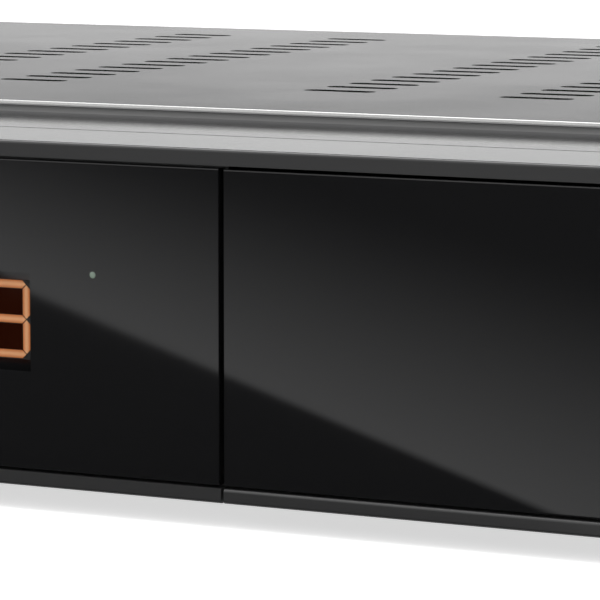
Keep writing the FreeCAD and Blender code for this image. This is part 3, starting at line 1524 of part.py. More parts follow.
def ribbon_leads():
    """The display ribbon and the key ribbon, both down to the main board."""
    height = header_size[2]
    half = ribbon_thickness / 2
    y = face_y + display_board_y + board_thickness + height
    land = ribbon_row_y()
    display_run = [(ribbon_x, y + half, header_z), (ribbon_x, land, header_z),
                   (ribbon_x, land, board_top + height + half)]
    key_y = face_y + key_board_y + board_thickness
    x = key_cluster_x - key_ribbon_offset
    key_run = [(x, key_y, key_ribbon_z), (x, land, key_ribbon_z), (x, land, board_top)]
    save("ribbon_leads", [flat_lead(display_run, ribbon_width, ribbon_thickness, along_x),
                          flat_lead(key_run, key_ribbon_width, ribbon_thickness, along_x)])


def power_leads():
    """The supply lead between the boards, and the mains leads down to the power board."""
    y = power_front + supply_lead_back
    a = power_board_x[1] - supply_lead_inset
    b = main_board_x[0] + supply_lead_inset
    top = board_top + supply_lead_rise
    over = [(a, y, board_top), (a, y, top), (b, y, top), (b, y, board_top)]
    pieces = [flat_lead(over, supply_lead_width, supply_lead_thickness, along_y)]
    ends = [(x, panel_out - inlet_depth - inlet_pin_tail, inlet_z) for x in inlet_lobes()]
    tab_end = panel_out - switch_depth - switch_tab[1]
    ends += [(switch_x + at, tab_end, switch_z) for at in (switch_tab_places[0], switch_tab_places[-1])]
    for x, end, z in ends:
        turn = end - mains_lead_bend
        way = [(x, end, z), (x, turn, z), (x, turn, board_top)]
        pieces.append(flat_lead(way, mains_lead_size, mains_lead_size, along_x))
    save("power_leads", pieces)


chassis_tray()
board_standoffs()
rubber_feet()
case_screws()
pan_head_screws()
rear_panel()
top_cover()
front_bezel()
display_window()
slot_panel()
key_panel()
flap_catch()
flap_frame()
flap_panel()
hinge_pins()
arrow_keys()
ok_key()
standby_key()
tact_switches()
display_board()
key_board()
front_board_screws()
display_module()
display_segments()
standby_led()
infrared_receiver()
module_cage()
smart_card_reader()
module_pin_blocks()
main_board()
power_board()
heat_sink()
board_chips()
board_capacitors()
tuner_can()
aerial_connectors()
serial_port()
serial_posts()
video_socket()
network_socket()
usb_sockets()
phono_sockets()
optical_socket()
power_transformer()
power_heat_sink()
mains_filter()
mains_inlet()
mains_switch_body()
mains_rocker()
lead_headers()
ribbon_leads()
power_leads()
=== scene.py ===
# %% [markdown]
# # A satellite receiver, dressed for its portrait
# The steel, the plastic and the boards come ready made as a frame of parts. This lesson gives each of them a
# finish that is built from nodes, adds the small pieces that are easier to shape by hand, and lights the set as
# in a studio.

# %% Load the frame of parts
import bpy
import bmesh
import math
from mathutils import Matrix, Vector


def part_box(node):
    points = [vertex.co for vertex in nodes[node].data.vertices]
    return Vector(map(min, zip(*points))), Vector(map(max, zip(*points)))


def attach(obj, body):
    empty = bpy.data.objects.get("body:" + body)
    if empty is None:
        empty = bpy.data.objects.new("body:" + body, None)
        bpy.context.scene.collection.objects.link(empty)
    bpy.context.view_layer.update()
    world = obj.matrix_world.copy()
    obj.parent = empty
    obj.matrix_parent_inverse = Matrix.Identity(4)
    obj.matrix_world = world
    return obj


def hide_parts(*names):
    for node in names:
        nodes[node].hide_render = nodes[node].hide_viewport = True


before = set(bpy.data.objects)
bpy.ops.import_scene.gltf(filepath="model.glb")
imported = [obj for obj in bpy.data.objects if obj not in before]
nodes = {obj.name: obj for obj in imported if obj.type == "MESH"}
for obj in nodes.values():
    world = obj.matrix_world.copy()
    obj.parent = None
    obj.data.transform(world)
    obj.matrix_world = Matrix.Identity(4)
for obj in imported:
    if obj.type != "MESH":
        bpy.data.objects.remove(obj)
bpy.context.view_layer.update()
MM = 0.001
print("parts in the frame:", len(nodes))

# %% [markdown]
# ## Where things are
# The same few planes are needed again and again: the glossy face, the front edge of the cover, the joint between
# the window and the flap. They are measured on the parts, so nothing here has to be typed twice.

# %% Measure the planes that the finishes need
window_low, window_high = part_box("display_window")
flap_low, flap_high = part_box("flap_panel")
bezel_low, bezel_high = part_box("front_bezel")
cover_low, cover_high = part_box("top_cover")
bars_low, bars_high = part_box("display_segments")
lamp_low, lamp_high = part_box("standby_led")
face_y = bezel_low.y
print("face", round(face_y / MM, 1), "seam", round(flap_low.x / MM, 1), "cover", round(cover_low.y / MM, 1))

# %% [markdown]
# ## The camera
# The photograph was taken from the right, a little above, with a long lens: the upright edges stay parallel. A
# fit to the straight edges in it gave the turn, the tilt and the distance. The camera comes first, because every
# later choice of finish is judged through it.

# %% Place the camera
CAMERA_PLACE = (0.327226, -0.653423, 0.112097)
CAMERA_TILT = 7.399
CAMERA_TURN = 26.374
lens = bpy.data.cameras.new("camera")
lens.lens = 225.7
lens.sensor_width = 36.0
lens.clip_start = 0.05
lens.clip_end = 20.0
camera = bpy.data.objects.new("camera", lens)
camera.location = CAMERA_PLACE
camera.rotation_euler = (math.radians(90 - CAMERA_TILT), 0, math.radians(CAMERA_TURN))
bpy.context.scene.collection.objects.link(camera)
bpy.context.scene.camera = camera
bpy.context.scene.view_settings.view_transform = "Standard"
print("camera at", CAMERA_PLACE)

# %% [markdown]
# ## Helpers for node trees
# A material is a small program. These helpers add a node, set its sockets and wire it up, so that each recipe
# below reads as a list of what it does.


# %% Add a node and do sums
def connect(tree, value, socket):
    """Wire a socket, or set a number or a colour."""
    if isinstance(value, bpy.types.NodeSocket):
        tree.links.new(value, socket)
    elif socket.type == "RGBA":
        socket.default_value = (*value, 1.0)
    else:
        socket.default_value = value


def add(tree, kind, **sockets):
    """Add a node; keywords that name a property set it, and the others set or link input sockets."""
    node = tree.nodes.new(kind)
    for key, value in sockets.items():
        if key != "Scale" and hasattr(node, key):
            setattr(node, key, value)
        else:
            connect(tree, value, node.inputs[key.replace("_", " ")])
    return node


def maths(tree, operation, a, b=None, clamp=False):
    """A Math node on sockets or numbers; gives its output socket."""
    node = add(tree, "ShaderNodeMath", operation=operation, use_clamp=clamp)
    connect(tree, a, node.inputs[0])
    if b is not None:
        connect(tree, b, node.inputs[1])
    return node.outputs[0]


def times(tree, first, *others):
    """The product of sockets and numbers."""
    for other in others:
        first = maths(tree, "MULTIPLY", first, other)
    return first


def blend_colours(tree, factor, first, second):
    """A Mix node for colours; gives its output socket."""
    node = add(tree, "ShaderNodeMix", data_type="RGBA")
    for index, value in ((0, factor), (6, first), (7, second)):
        connect(tree, value, node.inputs[index])
    return node.outputs[2]


# %% Masks from place and direction
def place_of(tree):
    """The Object coordinates, split into x, y and z."""
    coordinates = tree.nodes.new("ShaderNodeTexCoord").outputs["Object"]
    split = add(tree, "ShaderNodeSeparateXYZ", Vector=coordinates)
    return coordinates, split.outputs[0], split.outputs[1], split.outputs[2]


def normal_of(tree):
    """The surface normal, split into x, y and z."""
    normal = tree.nodes.new("ShaderNodeNewGeometry").outputs["Normal"]
    return add(tree, "ShaderNodeSeparateXYZ", Vector=normal).outputs


def soft_step(tree, value, start, end):
    """0 before start, 1 after end."""
    return add(tree, "ShaderNodeMapRange", clamp=True, Value=value, From_Min=start, From_Max=end).outputs[0]


def apart(tree, value, middle):
    """How far a value is from a middle."""
    return maths(tree, "ABSOLUTE", maths(tree, "SUBTRACT", value, middle))


def inside(tree, value, middle, half, soft):
    """1 where the value is within half of the middle, with a soft edge."""
    return soft_step(tree, apart(tree, value, middle), half + soft, half)


# %% [markdown]
# ## Shared effects
# Real surfaces are never one flat value. Paint, moulded plastic and sheet metal all have a fine grain that breaks
# up the gloss, and a slow drift of tone over the whole panel. One group makes both from noise. The drawn aluminium
# of the heat sinks gets a second group that draws the noise out into brush marks.


# %% The grain group
DRIFT_SCALE = 0.02
FINE_SHARE, DRIFT_SHARE = 0.6, 0.4


def grain_group():
    """Colour, roughness and height that vary over a surface."""
    group = bpy.data.node_groups.new("surface_grain", "ShaderNodeTree")
    face = group.interface
    for name, kind, value in (("Vector", "NodeSocketVector", None), ("Scale", "NodeSocketFloat", 900.0),
                              ("Colour", "NodeSocketColor", None), ("Drift Colour", "NodeSocketColor", None),
                              ("Rough Low", "NodeSocketFloat", 0.3), ("Rough High", "NodeSocketFloat", 0.4)):
        socket = face.new_socket(name=name, in_out="INPUT", socket_type=kind)
        if value is not None:
            socket.default_value = value
    for name, kind in (("Colour", "Color"), ("Roughness", "Float"), ("Height", "Float")):
        face.new_socket(name=name, in_out="OUTPUT", socket_type="NodeSocket" + kind)
    inlet = group.nodes.new("NodeGroupInput").outputs
    outlet = group.nodes.new("NodeGroupOutput").inputs
    fine = add(group, "ShaderNodeTexNoise", Vector=inlet["Vector"], Detail=3.0, Scale=inlet["Scale"])
    slow = add(group, "ShaderNodeTexNoise", Vector=inlet["Vector"], Detail=2.0,
               Scale=times(group, inlet["Scale"], DRIFT_SCALE))
    drift = soft_step(group, slow.outputs["Fac"], 0.35, 0.65)
    mixed = blend_colours(group, drift, inlet["Colour"], inlet["Drift Colour"])
    share = maths(group, "ADD", times(group, fine.outputs["Fac"], FINE_SHARE), times(group, drift, DRIFT_SHARE),
                  clamp=True)
    spread = add(group, "ShaderNodeMapRange", Value=share, To_Min=inlet["Rough Low"], To_Max=inlet["Rough High"])
    group.links.new(mixed, outlet["Colour"])
    group.links.new(spread.outputs[0], outlet["Roughness"])
    group.links.new(fine.outputs["Fac"], outlet["Height"])
    return group


GRAIN = grain_group()
print("group:", GRAIN.name)


# %% The brush group
def brush_group():
    """Brush marks: noise drawn out along one direction."""
    group = bpy.data.node_groups.new("brush_marks", "ShaderNodeTree")
    face = group.interface
    face.new_socket(name="Vector", in_out="INPUT", socket_type="NodeSocketVector")
    for name, value in (("Across", 1500.0), ("Along", 60.0)):
        face.new_socket(name=name, in_out="INPUT", socket_type="NodeSocketFloat").default_value = value
    face.new_socket(name="Marks", in_out="OUTPUT", socket_type="NodeSocketFloat")
    inlet = group.nodes.new("NodeGroupInput").outputs
    outlet = group.nodes.new("NodeGroupOutput").inputs
    stretch = add(group, "ShaderNodeCombineXYZ", X=inlet["Across"], Y=inlet["Along"], Z=inlet["Across"])
    scaled = add(group, "ShaderNodeVectorMath", operation="MULTIPLY")
    group.links.new(inlet["Vector"], scaled.inputs[0])
    group.links.new(stretch.outputs[0], scaled.inputs[1])
    noise = add(group, "ShaderNodeTexNoise", Vector=scaled.outputs[0], Detail=2.0, Scale=1.0)
    group.links.new(noise.outputs["Fac"], outlet["Marks"])
    return group


BRUSH = brush_group()
print("group:", BRUSH.name)

# %% [markdown]
# ## A finish from the shared grain
# Most pieces differ only in colour, gloss and the size of their grain, so one function writes that material. The
# numbers that are the same all over a surface go straight onto the shader.


# %% The plain finish
FINISHES = {}


def set_shader(look, **sockets):
    """Set or link sockets on the shader of a finish."""
    for key, value in sockets.items():
        connect(look["tree"], value, look["shader"].inputs[key.replace("_", " ")])


def set_relief(look, height, distance):
    """Give a finish another height, and how deep it is, in millimetres."""
    look["tree"].links.new(height, look["relief"].inputs["Height"])
    look["relief"].inputs["Distance"].default_value = distance * MM


def finish(name, colour, drift, rough, scale=900.0, bump=0.02, metallic=0.0, index=1.5):
    """A material with the shared grain; gives it with its tree, shader, grain node and coordinates."""
    material = bpy.data.materials.new(name + "_finish")
    FINISHES[name] = material
    material.use_nodes = True
    tree = material.node_tree
    coordinates, x, y, z = place_of(tree)
    grain = add(tree, "ShaderNodeGroup", node_tree=GRAIN, Vector=coordinates, Scale=scale, Colour=colour,
                Drift_Colour=drift, Rough_Low=rough[0], Rough_High=rough[1])
    relief = add(tree, "ShaderNodeBump", Height=grain.outputs["Height"], Strength=1.0, Distance=bump * MM)
    look = {"material": material, "tree": tree, "shader": tree.nodes["Principled BSDF"], "grain": grain,
            "coordinates": coordinates, "at": (x, y, z), "relief": relief}
    set_shader(look, Base_Color=grain.outputs["Colour"], Roughness=grain.outputs["Roughness"],
               Normal=relief.outputs[0], Metallic=metallic, IOR=index)
    return look


def wear(name, *parts):
    """Give parts of the frame a finish."""
    for part in parts:
        slots = nodes[part].data.materials
        slots.clear()
        slots.append(FINISHES[name])


# %% [markdown]
# ## The painted cover
# The cover is sheet steel with a fine semi-gloss black coat. Seen along the sheet it mirrors the white room, so it
# looks grey. The sheet is cut after it is painted: the cut at its front edge is bare and bright, and draws the
# light line along the whole front. A mask on the depth picks out that edge. Only its upper part is clean metal;
# its lower part is painted light, a pale grey that is brighter than its lighting makes it.
# The rear panel has the same paint, a little duller.

# %% Paint the cover and the rear panel
# A pale grey that is painted light: it lifts the shaded lower part of the cover's cut edge and the shaded fascia
# under the cover.
PAINTED_LIGHT_GREY = (0.42, 0.42, 0.42)
CUT_DEPTHS = (0.12 * MM, 0.05 * MM)
CLEAN_HEIGHTS = (0.58 * MM, 0.52 * MM)
BLACK_PAINT = ((0.010, 0.010, 0.011), (0.014, 0.014, 0.015))
finish("painted_black", *BLACK_PAINT, (0.25, 0.31), scale=1400.0, bump=0.004)
wear("painted_black", "rear_panel")
cover = finish("painted_cover", *BLACK_PAINT, (0.18, 0.22), scale=1400.0, bump=0.0012, index=1.6)
tree = cover["tree"]
cut_edge = soft_step(tree, cover["at"][1], cover_low.y + CUT_DEPTHS[0], cover_low.y + CUT_DEPTHS[1])
upper = soft_step(tree, cover["at"][2], cover_high.z - CLEAN_HEIGHTS[0], cover_high.z - CLEAN_HEIGHTS[1])
# The upper part of the cut edge is bare metal; the lower part is painted light, a pale grey brighter than its
# lighting makes it.
bare_edge_and_painted_light_tone = blend_colours(tree, upper, PAINTED_LIGHT_GREY, (0.70, 0.70, 0.69))
set_shader(cover, Base_Color=blend_colours(tree, cut_edge, cover["grain"].outputs["Colour"], bare_edge_and_painted_light_tone),
           Metallic=times(tree, cut_edge, upper))
wear("painted_cover", "top_cover")
print("painted: cover and rear panel")

# %% [markdown]
# ## The fascia
# The moulding is one black plastic, polished on its flat top and satin on the faces that look forward and on all
# that lies lower. The upward part of the surface normal and the height tell them apart. The satin colour is
# painted shade near the top, where the lip catches the bright reflection, and painted light lower down. The strip
# that runs on under the cover, where shade falls, is painted light: a pale grey, so that the gap there is not
# quite black.

# %% Finish the fascia
POLISHED_COAT = 0.35
SATIN_EXTRA = 0.30
fascia = finish("bezel_black", (0.012, 0.012, 0.013), (0.016, 0.016, 0.017), (0.13, 0.16), scale=1100.0,
                bump=0.0007, index=1.62)
tree = fascia["tree"]
facing_front = soft_step(tree, normal_of(tree)[2], 0.9, 0.6)
low_down = soft_step(tree, fascia["at"][2], bezel_high.z - 4.0 * MM, bezel_high.z - 6.0 * MM)
satin = maths(tree, "MAXIMUM", facing_front, low_down)
# Painted shade and painted light: the satin colour is darker near the top and lighter lower down.
lit_and_shaded_front_tone = blend_colours(tree, low_down, (0.009, 0.009, 0.0095), (0.0145, 0.0145, 0.015))
outer_tone = blend_colours(tree, satin, fascia["grain"].outputs["Colour"], lit_and_shaded_front_tone)
# Painted light: the fascia under the cover, where shade falls, gets the pale grey.
painted_light_under_cover = soft_step(tree, fascia["at"][1], cover_low.y + 0.5 * MM, cover_low.y + 0.9 * MM)
set_shader(fascia, Base_Color=blend_colours(tree, painted_light_under_cover, outer_tone, PAINTED_LIGHT_GREY),
           Roughness=maths(tree, "ADD", fascia["grain"].outputs["Roughness"], times(tree, satin, SATIN_EXTRA)),
           Coat_Weight=times(tree, maths(tree, "SUBTRACT", 1.0, satin), POLISHED_COAT), Coat_Roughness=0.06)
wear("bezel_black", "front_bezel", "flap_frame")
print("fascia: satin below z", round((bezel_high.z - 6.0 * MM) / MM, 1))

# %% [markdown]
# ## The glossy face
# Window and flap are smoked acrylic, polished like piano lacquer. The window is printed black from behind except
# where light has to come through: over the bars of the numeral. There its alpha falls, so that the bars behind it
# show through. The front surface is clear over the whole display, so that the print is seen where it is, on the
# back. A faint orange haze round the numeral, light scattered in the acrylic, is painted glow: the window emits
# it.

# %% Polish the flap
SMOKED = ((0.0085, 0.0085, 0.009), (0.010, 0.010, 0.0105), (0.035, 0.05))
finish("smoked_gloss", *SMOKED, scale=300.0, bump=0.0)
wear("smoked_gloss", "flap_panel")
print("flap polished")

# %% Where the numerals stand
SHOWN = "1208"
digit_pitch = 12.7 * MM
digit_width = 7.6 * MM
bar_width = 1.3 * MM
digit_height = bars_high.z - bars_low.z
digit_z = (bars_low.z + bars_high.z) / 2
last_digit_x = bars_high.x - digit_width / 2
row_half = (len(SHOWN) - 1) * digit_pitch / 2
row_middle = last_digit_x - row_half
row_start = row_middle - row_half - digit_pitch / 2
rise = (digit_height - bar_width) / 2
side = (digit_width - bar_width) / 2


def across_numeral(tree, x):
    """How far a place lies to the side of the middle of its numeral."""
    along = maths(tree, "MODULO", maths(tree, "SUBTRACT", x, row_start), digit_pitch)
    return maths(tree, "SUBTRACT", along, digit_pitch / 2)


print("digits end at x", round(last_digit_x / MM, 2), "height", round(digit_height / MM, 2))

# %% Clear zones of the window
SOFT = 0.05 * MM
RIM = 0.12 * MM
LOOK_ROOM = 1.6 * MM
PRINT_CLEARNESS = 0.9
pane = finish("smoked_window", *SMOKED, scale=300.0, bump=0.0)
tree = pane["tree"]
pane_x, pane_y, pane_z = pane["at"]
cell = across_numeral(tree, pane_x)
in_row = inside(tree, pane_x, row_middle, row_half + digit_pitch / 2, 0.01 * MM)
outline = times(tree, inside(tree, cell, 0.0, digit_width / 2 + RIM, SOFT),
                inside(tree, pane_z, digit_z, digit_height / 2 + RIM, SOFT))
hole = times(tree, inside(tree, cell, 0.0, digit_width / 2 - bar_width - RIM, SOFT),
             inside(tree, apart(tree, pane_z, digit_z), rise / 2, (rise - bar_width) / 2 - RIM, SOFT))
printed = times(tree, outline, in_row, maths(tree, "SUBTRACT", 1.0, hole), PRINT_CLEARNESS)
front_clear = times(tree, inside(tree, pane_x, row_middle, row_half + digit_width / 2 + LOOK_ROOM, 2 * SOFT),
                    inside(tree, pane_z, digit_z, digit_height / 2 + LOOK_ROOM, 2 * SOFT))
at_back = soft_step(tree, pane_y, window_low.y + 0.3 * MM, window_high.y - 0.3 * MM)
clear = maths(tree, "ADD", times(tree, at_back, printed),
              times(tree, maths(tree, "SUBTRACT", 1.0, at_back), front_clear))
set_shader(pane, Alpha=maths(tree, "SUBTRACT", 1.0, clear))
print("window: clear over", len(SHOWN), "numerals")

# %% Painted glow round the numerals
HAZE_INSET = 0.6 * MM
painted_glow_haze = times(tree, inside(tree, cell, 0.0, digit_width / 2 - HAZE_INSET, LOOK_ROOM),
             inside(tree, pane_z, digit_z, digit_height / 2 - HAZE_INSET, LOOK_ROOM), in_row)
# Painted glow: the window emits the orange light of the bars round them, and its colour there is tinted orange.
set_shader(pane, Emission_Color=blend_colours(tree, painted_glow_haze, (0.0, 0.0, 0.0), (0.013, 0.0022, 0.0008)),
           Base_Color=blend_colours(tree, painted_glow_haze, pane["grain"].outputs["Colour"], (0.004, 0.0012, 0.0004)),
           Emission_Strength=1.0)
wear("smoked_window", "display_window")
print("haze reaches", round((LOOK_ROOM - HAZE_INSET) / MM, 1), "mm past the bars")

# %% [markdown]
# ## The lit numeral
# A real bar is a small light guide: bright along its middle, deeper at its rim. The bars are shaped by hand here.
# One bar is a six-sided plate with a bevelled rim. It is copied for every place, and the lit and unlit ones are
# joined into two pieces that stand in for the plain bars of the frame.


# %% Clean modelling helpers
def nothing_selected():
    """An operator works on all that is selected, so each step starts with nothing."""
    if bpy.context.object and bpy.context.object.mode != "OBJECT":
        bpy.ops.object.mode_set(mode="OBJECT")
    for item in bpy.context.selected_objects:
        item.select_set(False)


def only(piece):
    """Select one piece and make it active."""
    nothing_selected()
    piece.select_set(True)
    bpy.context.view_layer.objects.active = piece


def open_mesh():
    """Go into edit mode with everything selected."""
    bpy.ops.object.mode_set(mode="EDIT")
    bpy.ops.mesh.select_all(action="SELECT")


def smooth(piece):
    """Shade every face of a piece smoothly."""
    for polygon in piece.data.polygons:
        polygon.use_smooth = True


def settle(piece):
    """Put the place of a piece into its mesh, with its object at the origin."""
    only(piece)
    bpy.ops.object.transform_apply(location=True, rotation=True, scale=True)
    return piece


def placed_copy(master, place, turn=(0, 0, 0)):
    """A copy with a mesh of its own, settled in its place."""
    piece = master.copy()
    piece.data = master.data.copy()
    bpy.context.scene.collection.objects.link(piece)
    piece.location = place
    piece.rotation_euler = turn
    return settle(piece)


def join(pieces, name):
    """Join several pieces into one mesh."""
    nothing_selected()
    for piece in pieces:
        piece.select_set(True)
    bpy.context.view_layer.objects.active = pieces[0]
    if len(pieces) > 1:
        bpy.ops.object.join()
    joined = bpy.context.view_layer.objects.active
    joined.name = name
    joined.data.name = name
    return joined


def face_outward(piece):
    """Merge doubles and point every face outward."""
    only(piece)
    open_mesh()
    bpy.ops.mesh.remove_doubles(threshold=1e-7)
    bpy.ops.mesh.normals_make_consistent(inside=False)
    bpy.ops.object.mode_set(mode="OBJECT")
    return piece


def choose(piece, test):
    """In edit mode, select the corners that pass a test, and the edges and faces between them."""
    mesh = bmesh.from_edit_mesh(piece.data)
    for part in (mesh.verts, mesh.edges, mesh.faces):
        for item in part:
            item.select_set(False)
    for corner in mesh.verts:
        if test(corner.co):
            corner.select_set(True)
    mesh.select_flush(True)
    bmesh.update_edit_mesh(piece.data)


# %% Shape one bar
BAR_FRONT = bars_low.y
BAR_DEEP = bars_high.y - bars_low.y
BAR_RIM = 0.05 * MM
BAR_GAP = 0.25 * MM
SIXTH = math.radians(60)


def bar_master(name, length):
    """A flat bar with pointed ends: a six-sided plate pulled long, drawn out in depth, its front rim bevelled."""
    nothing_selected()
    half = bar_width / 2
    bpy.ops.mesh.primitive_circle_add(vertices=6, radius=half / math.sin(SIXTH), fill_type="NGON")
    piece = bpy.context.object
    piece.name = name
    open_mesh()
    bpy.ops.transform.resize(value=(1, math.tan(SIXTH), 1), center_override=(0, 0, 0))
    for end in (-1, 1):
        choose(piece, lambda co: co.y * end > 0)
        bpy.ops.transform.translate(value=(0, end * (length / 2 - 2 * half), 0))
    bpy.ops.mesh.select_all(action="SELECT")
    bpy.ops.mesh.extrude_region_move(TRANSFORM_OT_translate={"value": (0, 0, BAR_DEEP)})
    choose(piece, lambda co: co.z > BAR_DEEP / 2)
    bpy.ops.mesh.bevel(offset=BAR_RIM, segments=1, affect="EDGES")
    bpy.ops.mesh.select_all(action="SELECT")
    bpy.ops.mesh.normals_make_consistent(inside=False)
    bpy.ops.object.mode_set(mode="OBJECT")
    return piece


flat_bar = bar_master("flat_bar", digit_width - bar_width - BAR_GAP)
tall_bar = bar_master("tall_bar", digit_height / 2 - bar_width / 2 - BAR_GAP)
print("corners of a bar:", len(flat_bar.data.vertices))

# %% Copy the bars into numerals
BARS = {"top": (0, 1, False), "upper_right": (1, 0.5, True), "lower_right": (1, -0.5, True),
        "bottom": (0, -1, False), "lower_left": (-1, -0.5, True), "upper_left": (-1, 0.5, True),
        "middle": (0, 0, False)}
NUMERALS = {
    "1": ("upper_right", "lower_right"),
    "2": ("top", "upper_right", "middle", "lower_left", "bottom"),
    "0": ("top", "upper_right", "lower_right", "bottom", "lower_left", "upper_left"),
    "8": tuple(BARS),
}


lit_bars, dark_bars = [], []
for place, numeral in enumerate(SHOWN):
    middle_x = last_digit_x - (len(SHOWN) - 1 - place) * digit_pitch
    for bar, (across, up, upright) in BARS.items():
        spot = (middle_x + across * side, BAR_FRONT + BAR_DEEP, digit_z + up * rise)
        stood = (math.radians(90), 0 if upright else math.radians(90), 0)
        made = placed_copy(tall_bar if upright else flat_bar, spot, stood)
        (lit_bars if bar in NUMERALS[numeral] else dark_bars).append(made)
for master in (flat_bar, tall_bar):
    bpy.data.objects.remove(master)
lit_numeral = face_outward(join(lit_bars, "lit_numeral"))
dark_numeral = face_outward(join(dark_bars, "dark_numeral"))
print("lit faces", len(lit_numeral.data.polygons), "dark faces", len(dark_numeral.data.polygons))

# %% Light the bars
BAR_GLOW = 0.42
CORE_OUT, CORE_IN = 0.42, 0.08
glowing = finish("lit_orange", (0.30, 0.09, 0.03), (0.34, 0.11, 0.04), (0.35, 0.45), scale=2000.0, bump=0.0)
tree = glowing["tree"]
to_side = apart(tree, maths(tree, "ABSOLUTE", across_numeral(tree, glowing["at"][0])), side)
level = apart(tree, glowing["at"][2], digit_z)
to_level = maths(tree, "MINIMUM", level, apart(tree, level, rise))
core = soft_step(tree, maths(tree, "MINIMUM", to_side, to_level), bar_width * CORE_OUT, bar_width * CORE_IN)
set_shader(glowing, Emission_Color=blend_colours(tree, core, (0.62, 0.20, 0.05), (1.0, 0.55, 0.27)),
           Emission_Strength=BAR_GLOW)
lit_numeral.data.materials.append(glowing["material"])
unlit = finish("unlit_bars", (0.045, 0.038, 0.034), (0.05, 0.042, 0.038), (0.4, 0.5), scale=2000.0, bump=0.0)
dark_numeral.data.materials.append(unlit["material"])
for piece in (lit_numeral, dark_numeral):
    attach(piece, "case")
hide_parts("display_segments")
print("bars lit:", len(lit_bars), "dark:", len(dark_bars))

# %% [markdown]
# ## Finishes of the other pieces
# The rest of the receiver is a family of ordinary finishes: galvanised sheet, nickel, zinc screws, rubber,
# textured plastic. Each is the shared grain with its own colour, gloss and scale.

# %% Plain finishes
# Each row: colour, drift colour, roughness range, scale of the grain, its relief in millimetres, metallic.
PLAIN = {
    "galvanised": ((0.42, 0.43, 0.44), (0.52, 0.53, 0.54), (0.32, 0.45), 160.0, 0.004, 1.0),
    "bright_metal": ((0.62, 0.61, 0.58), (0.68, 0.67, 0.64), (0.14, 0.24), 1200.0, 0.001, 1.0),
    "zinc_screw": ((0.50, 0.50, 0.50), (0.58, 0.58, 0.56), (0.25, 0.4), 1800.0, 0.02, 1.0),
    "black_screw": ((0.018, 0.018, 0.02), (0.028, 0.028, 0.03), (0.3, 0.42), 1800.0, 0.02),
    "rubber": ((0.014, 0.014, 0.014), (0.02, 0.02, 0.02), (0.75, 0.9), 1500.0, 0.03),
    "black_plastic": ((0.016, 0.016, 0.017), (0.021, 0.021, 0.022), (0.42, 0.55), 1600.0, 0.012),
    "key_grey": ((0.085, 0.087, 0.092), (0.1, 0.102, 0.107), (0.3, 0.4), 1600.0, 0.006),
    "chip_black": ((0.012, 0.012, 0.013), (0.018, 0.018, 0.019), (0.5, 0.65), 2500.0, 0.01),
    "ferrite": ((0.03, 0.03, 0.033), (0.04, 0.04, 0.043), (0.45, 0.6), 1800.0, 0.01),
    "white_plastic": ((0.68, 0.66, 0.6), (0.74, 0.72, 0.67), (0.35, 0.5), 1200.0, 0.006),
    "magnet": ((0.32, 0.32, 0.33), (0.4, 0.4, 0.41), (0.25, 0.38), 1500.0, 0.02, 1.0),
    "lamp_clear": ((0.6, 0.75, 0.65), (0.65, 0.8, 0.7), (0.1, 0.2), 900.0, 0.0),
}
for name, values in PLAIN.items():
    finish(name, *values)
WORN = {
    "galvanised": ("chassis_tray", "module_cage", "tuner_can"),
    "bright_metal": ("hinge_pins", "usb_sockets", "video_socket", "phono_barrels", "serial_port", "serial_posts",
                     "mains_inlet_pins"),
    "zinc_screw": ("pan_head_screws", "front_board_screws", "board_standoffs"),
    "black_screw": ("case_screws",),
    "rubber": ("rubber_feet",),
    "black_plastic": ("slot_panel", "key_panel", "smart_card_reader", "module_pin_blocks", "display_module",
                      "network_socket", "phono_block", "optical_socket", "mains_inlet", "mains_switch_body",
                      "mains_rocker"),
    "key_grey": ("standby_key", "key_up", "key_down", "key_left", "key_right", "key_ok"),
    "chip_black": ("infrared_receiver", "tact_switches", "board_chips"),
    "ferrite": ("mains_filter",),
    "white_plastic": ("aerial_insulators", "lead_headers"),
    "magnet": ("catch_stud", "flap_magnet"),
    "lamp_clear": ("standby_led",),
}
for name, parts in WORN.items():
    wear(name, *parts)
print("plain finishes:", len(PLAIN))

# %% [markdown]
# ## Threaded barrels
# An aerial socket is a nickelled barrel with a fine thread, 32 turns to the inch. The thread is too fine to be
# worth cutting into the mesh, so it is drawn as relief: a height that goes up and down along the barrel, and
# stays flat on the nut at its foot.

# %% Draw the thread
THREAD_PITCH = 0.79 * MM
NUT_END = 8.8 * MM
thread = finish("threaded_nickel", (0.62, 0.61, 0.58), (0.68, 0.67, 0.64), (0.16, 0.26), scale=1200.0,
                metallic=1.0)
tree = thread["tree"]
barrel_low, barrel_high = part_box("aerial_connectors")
ridge = maths(tree, "PINGPONG", thread["at"][1], THREAD_PITCH / 2)
beyond_nut = soft_step(tree, thread["at"][1], barrel_high.y - NUT_END, barrel_high.y - NUT_END + 0.2 * MM)
set_relief(thread, times(tree, ridge, times(tree, beyond_nut, 1.0 / THREAD_PITCH)), 0.5)
wear("threaded_nickel", "aerial_connectors")
print("thread starts at y", round((barrel_high.y - NUT_END) / MM, 1))

# %% [markdown]
# ## The pilot lamp
# The light of the pilot lamp comes out through a tiny clear lens in the face. It is a low dome: half a ball, cut
# off and pressed flat, with the cut closed.

